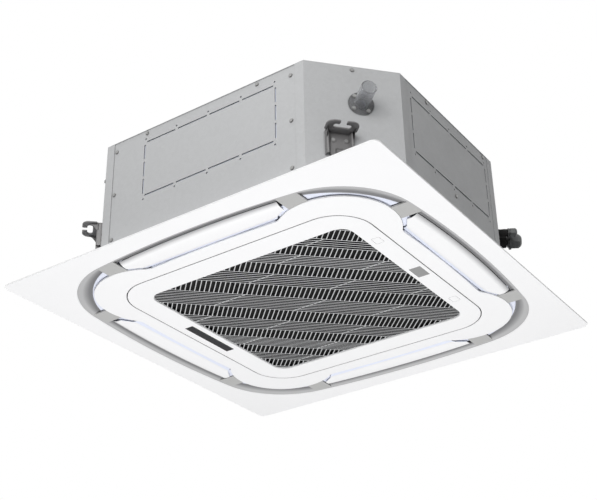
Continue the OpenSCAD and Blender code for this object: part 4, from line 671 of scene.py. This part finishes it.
# Four blades. Each is a bowed white shell that follows the ring, curled up along its outer edge,
# with a pale blue flange along its inner one. Arms and the hinge rods stay behind it.
BLADE_HALF = 0.203
BLADE_END_GAP = 0.0003
BLADE_IN = 0.359
BLADE_CHAMFER = (0.031, 0.0188)
BLADE_BOW = 0.195
BLADE_LOW = (0.384, -0.0044)
BLADE_WALL = 0.0012
BLADE_SHADE = (-0.0036, 0.0016)
EDGE_GAP = 0.0009
CURL = 0.016
CURL_RISE = 0.0060
CURL_POWER = 1.7
# The flange, from its free edge to the shell: a share of its width, and its height
FLANGE = [(1.0, 0.0016), (0.9, 0.0004), (0.17, -0.0019), (0.05, -0.0026)]
FLANGE_W = 0.0096
FLANGE_END = (0.169, 0.1765)
SHELL_START = 0.0004
ALONG = 72
ACROSS = 16
CURL_STEP = 10
PIVOT_IN = 0.002
PIVOT_Z = 0.007
ROD = [(0, -0.229), (0.0020, -0.229), (0.0024, -0.2286), (0.0024, 0.2552), (0.0022, 0.2556),
       (0.0018, 0.2556), (0.0018, 0.2484), (0, 0.2484)]
ROD_SIDES = 24
ARM_X = 0.120
ARM_W = 0.006
ARM = [(-0.0036, -0.0036), (0.0026, -0.0100), (0.0230, -0.0104), (0.0036, 0.0036),
       (-0.0036, 0.0036)]
ARM_ROUND = [0.0030, 0.001, 0.0003, 0.0030, 0.0030]
UPRIGHT = Matrix(((0, 0, 1, 0), (1, 0, 0, 0), (0, 1, 0, 0), (0, 0, 0, 1)))


def underside(r):
    """The height of the blade's bowed underside at a distance from the unit's middle."""
    return BLADE_LOW[1] + BLADE_BOW - math.sqrt(BLADE_BOW ** 2 - (r - BLADE_LOW[0]) ** 2)


def blade_point(t, step):
    """A point of the blade's underside: t along it, and a step across from flange to curl."""
    off_end = max(0.0, (abs(t) - BLADE_HALF + BLADE_CHAMFER[0]) / BLADE_CHAMFER[0])
    inner = BLADE_IN + off_end * BLADE_CHAMFER[1]
    outer = LIP[0] - LIP[1] - RING_W + math.sqrt((LIP[1] + RING_W - EDGE_GAP) ** 2 - t * t)
    start = outer - CURL
    if step < len(FLANGE):
        share = min(1.0, max(0.0, (FLANGE_END[1] - abs(t)) / (FLANGE_END[1] - FLANGE_END[0])))
        out, height = FLANGE[step]
        return t, inner - out * FLANGE_W * share, underside(inner) * (1 - share) + height * share
    if step <= CURL_STEP:
        r = inner + SHELL_START + (start - inner) * (step - len(FLANGE)) / (CURL_STEP - len(FLANGE))
        return t, r, underside(r)
    share = (step - CURL_STEP) / (ACROSS - CURL_STEP)
    return t, start + CURL * share, underside(start) + CURL_RISE * share ** CURL_POWER


flange_blue = finish("flange", (228, 233, 248), 0.5, scale=600, tone=0.02)
blade_white = white_moulding("blade white")
# Painted shade: the blade greys towards (166, 166, 168) where its shell rises towards its edges.
by_height(blade_white, *BLADE_SHADE, (166, 166, 168))
for index, node in enumerate(("louvre_north", "louvre_west", "louvre_south", "louvre_east")):
    blade = bmesh.new()
    bmesh.ops.create_grid(blade, x_segments=ALONG, y_segments=ACROSS, size=1)
    for v in blade.verts:
        v.co = blade_point(v.co.x * (BLADE_HALF - BLADE_END_GAP), round((v.co.y + 1) / 2 * ACROSS))
    bmesh.ops.recalc_face_normals(blade, faces=blade.faces)
    for f in blade.faces:
        middle = f.calc_center_median()
        f.material_index = int(middle.y < blade_point(middle.x, len(FLANGE))[1])
    if sum(f.normal.z for f in blade.faces) > 0:
        bmesh.ops.reverse_faces(blade, faces=blade.faces)
    bmesh.ops.solidify(blade, geom=blade.faces[:], thickness=BLADE_WALL)
    bmesh.ops.transform(blade, matrix=QUARTERS[index], verts=blade.verts)
    hinge = QUARTERS[index] @ Matrix.Translation((0, BLADE_IN + PIVOT_IN, PIVOT_Z))
    turned(blade, ROD, hinge @ Matrix.Rotation(math.radians(90), 4, "Y"), ROD_SIDES)
    for at in (-ARM_X, 0, ARM_X):
        before = set(blade.verts)
        face = outline_face(blade, rounded(ARM, ARM_ROUND), at - ARM_W / 2)
        thicken(blade, face, (0, 0, ARM_W))
        bmesh.ops.transform(blade, matrix=hinge @ UPRIGHT,
                            verts=[v for v in blade.verts if v not in before])
    piece(node.replace("louvre", "blade"), blade, node, [blade_white, flange_blue], node,
          slot="white_plastic")

# Intake lattice: bands of ladder bars and bands of slats, in a satin grey moulding. Shade is painted
# by facing: only the faces that look down stay pale; the bars' sides and the depth between them are
# painted near black.
LATTICE_SHADE_FACING = (-0.5, -0.95)
lattice_grey = finish("lattice grey", (206, 207, 208), 0.4, scale=1500, tone=0.03, relief=0.00001,
                      edge=0.0003)
tree = lattice_grey.node_tree
# Painted shade: faces turned away from straight down darken to (34, 34, 36).
recolour(lattice_grey, spread(tree, axes(tree, "Normal")["Z"], *LATTICE_SHADE_FACING), low=(34, 34, 36))
dress(lattice_grey, "grille_lattice")

# Display window and badge plate. The window is a dark smooth insert in the grille frame, and the
# plate opposite it is bare and grey.
window_dark = finish("window plastic", (48, 48, 50), 0.22, scale=1500, tone=0.03,
                     relief=0.000004, edge=0.0004)
dress(window_dark, "display_window")
plate_grey = finish("plate grey", (150, 150, 150), 0.4, scale=1500, tone=0.03, relief=0.000008,
                    edge=0.0003)
dress(plate_grey, "badge_plate")

# Dust filter. A thin frame with ribs and a net, both in black plastic, which lies in its seat on
# top of the grille.
filter_black = finish("filter plastic", (14, 14, 15), 0.75, scale=1500, tone=0.1)
dress(filter_black, "filter_frame", "filter_mesh")

# Room: a plain pale floor far below the unit, which hangs, so that a low camera sees past it,
# and a white world. Neither is part of the object.
FLOOR_Z = -4.2
FLOOR_REACH = 14.0
FLOOR_COLOUR = (236, 236, 236)
FLOOR_ROUGHNESS = 0.9
WORLD_LIGHT = 0.22
floor_mesh = bpy.data.meshes.new("floor")
shape = bmesh.new()
bmesh.ops.create_grid(shape, x_segments=1, y_segments=1, size=FLOOR_REACH,
                      matrix=Matrix.Translation((0, 0, FLOOR_Z)))
shape.to_mesh(floor_mesh)
shape.free()
floor = bpy.data.objects.new("floor", floor_mesh)
bpy.context.scene.collection.objects.link(floor)
floor_skin = bpy.data.materials.new("floor")
floor_skin.use_nodes = True
shader = floor_skin.node_tree.nodes["Principled BSDF"]
shader.inputs["Base Color"].default_value = seen(*FLOOR_COLOUR)
shader.inputs["Roughness"].default_value = FLOOR_ROUGHNESS
floor_mesh.materials.append(floor_skin)

world = bpy.data.worlds.new("room")
bpy.context.scene.world = world
world.use_nodes = True
tree = world.node_tree
sky = tree.nodes["Background"]
path = tree.nodes.new("ShaderNodeLightPath")
white_ray = larger(tree, path.outputs["Is Camera Ray"], path.outputs["Is Glossy Ray"])
white_ray = larger(tree, white_ray, path.outputs["Is Transmission Ray"])
join(tree, spread(tree, white_ray, 0, 1, WORLD_LIGHT, 1.0), sky.inputs["Strength"])
sky.inputs["Color"].default_value = (1, 1, 1, 1)

# Studio lamps: one from the west that lights the left wall, one from below that lights the
# panel, and a soft one from above.


def lamp(name, at, toward, size, power):
    """A square lamp that faces a point, and doesn't show in the picture."""
    light = bpy.data.lights.new(name, "AREA")
    light.shape = "SQUARE"
    light.size = size
    light.energy = power
    body = bpy.data.objects.new(name, light)
    body.location = at
    body.rotation_euler = (Vector(toward) - Vector(at)).to_track_quat("-Z", "Y").to_euler()
    body.visible_camera = False
    bpy.context.scene.collection.objects.link(body)


lamp("west lamp", at=(-3.5, -1.2, 0.5), toward=(0, 0, 0.15), size=2.2, power=80)
lamp("under lamp", at=(-0.4, -0.2, -2.9), toward=(0, 0, 0), size=2.6, power=80)
lamp("top lamp", at=(-0.6, 0.5, 3.4), toward=(0, 0, 0.2), size=2.6, power=60)

# Camera, where the photograph was taken: below the panel and off its drain corner. Its place and
# turn were solved from the panel's corners and the body's top edges.
CAMERA_AT = (-2.0290, -1.3608, -1.2293)
CAMERA_TURN = (119.365, 1.012, -55.167)
SENSOR_W = 36
LENS = 73.19
camera = bpy.data.objects.new("camera", bpy.data.cameras.new("camera"))
camera.location = CAMERA_AT
camera.rotation_euler = [math.radians(turn) for turn in CAMERA_TURN]
camera.data.sensor_width = SENSOR_W
camera.data.lens = LENS
bpy.context.scene.collection.objects.link(camera)
bpy.context.scene.camera = camera
bpy.context.scene.view_settings.view_transform = "Standard"
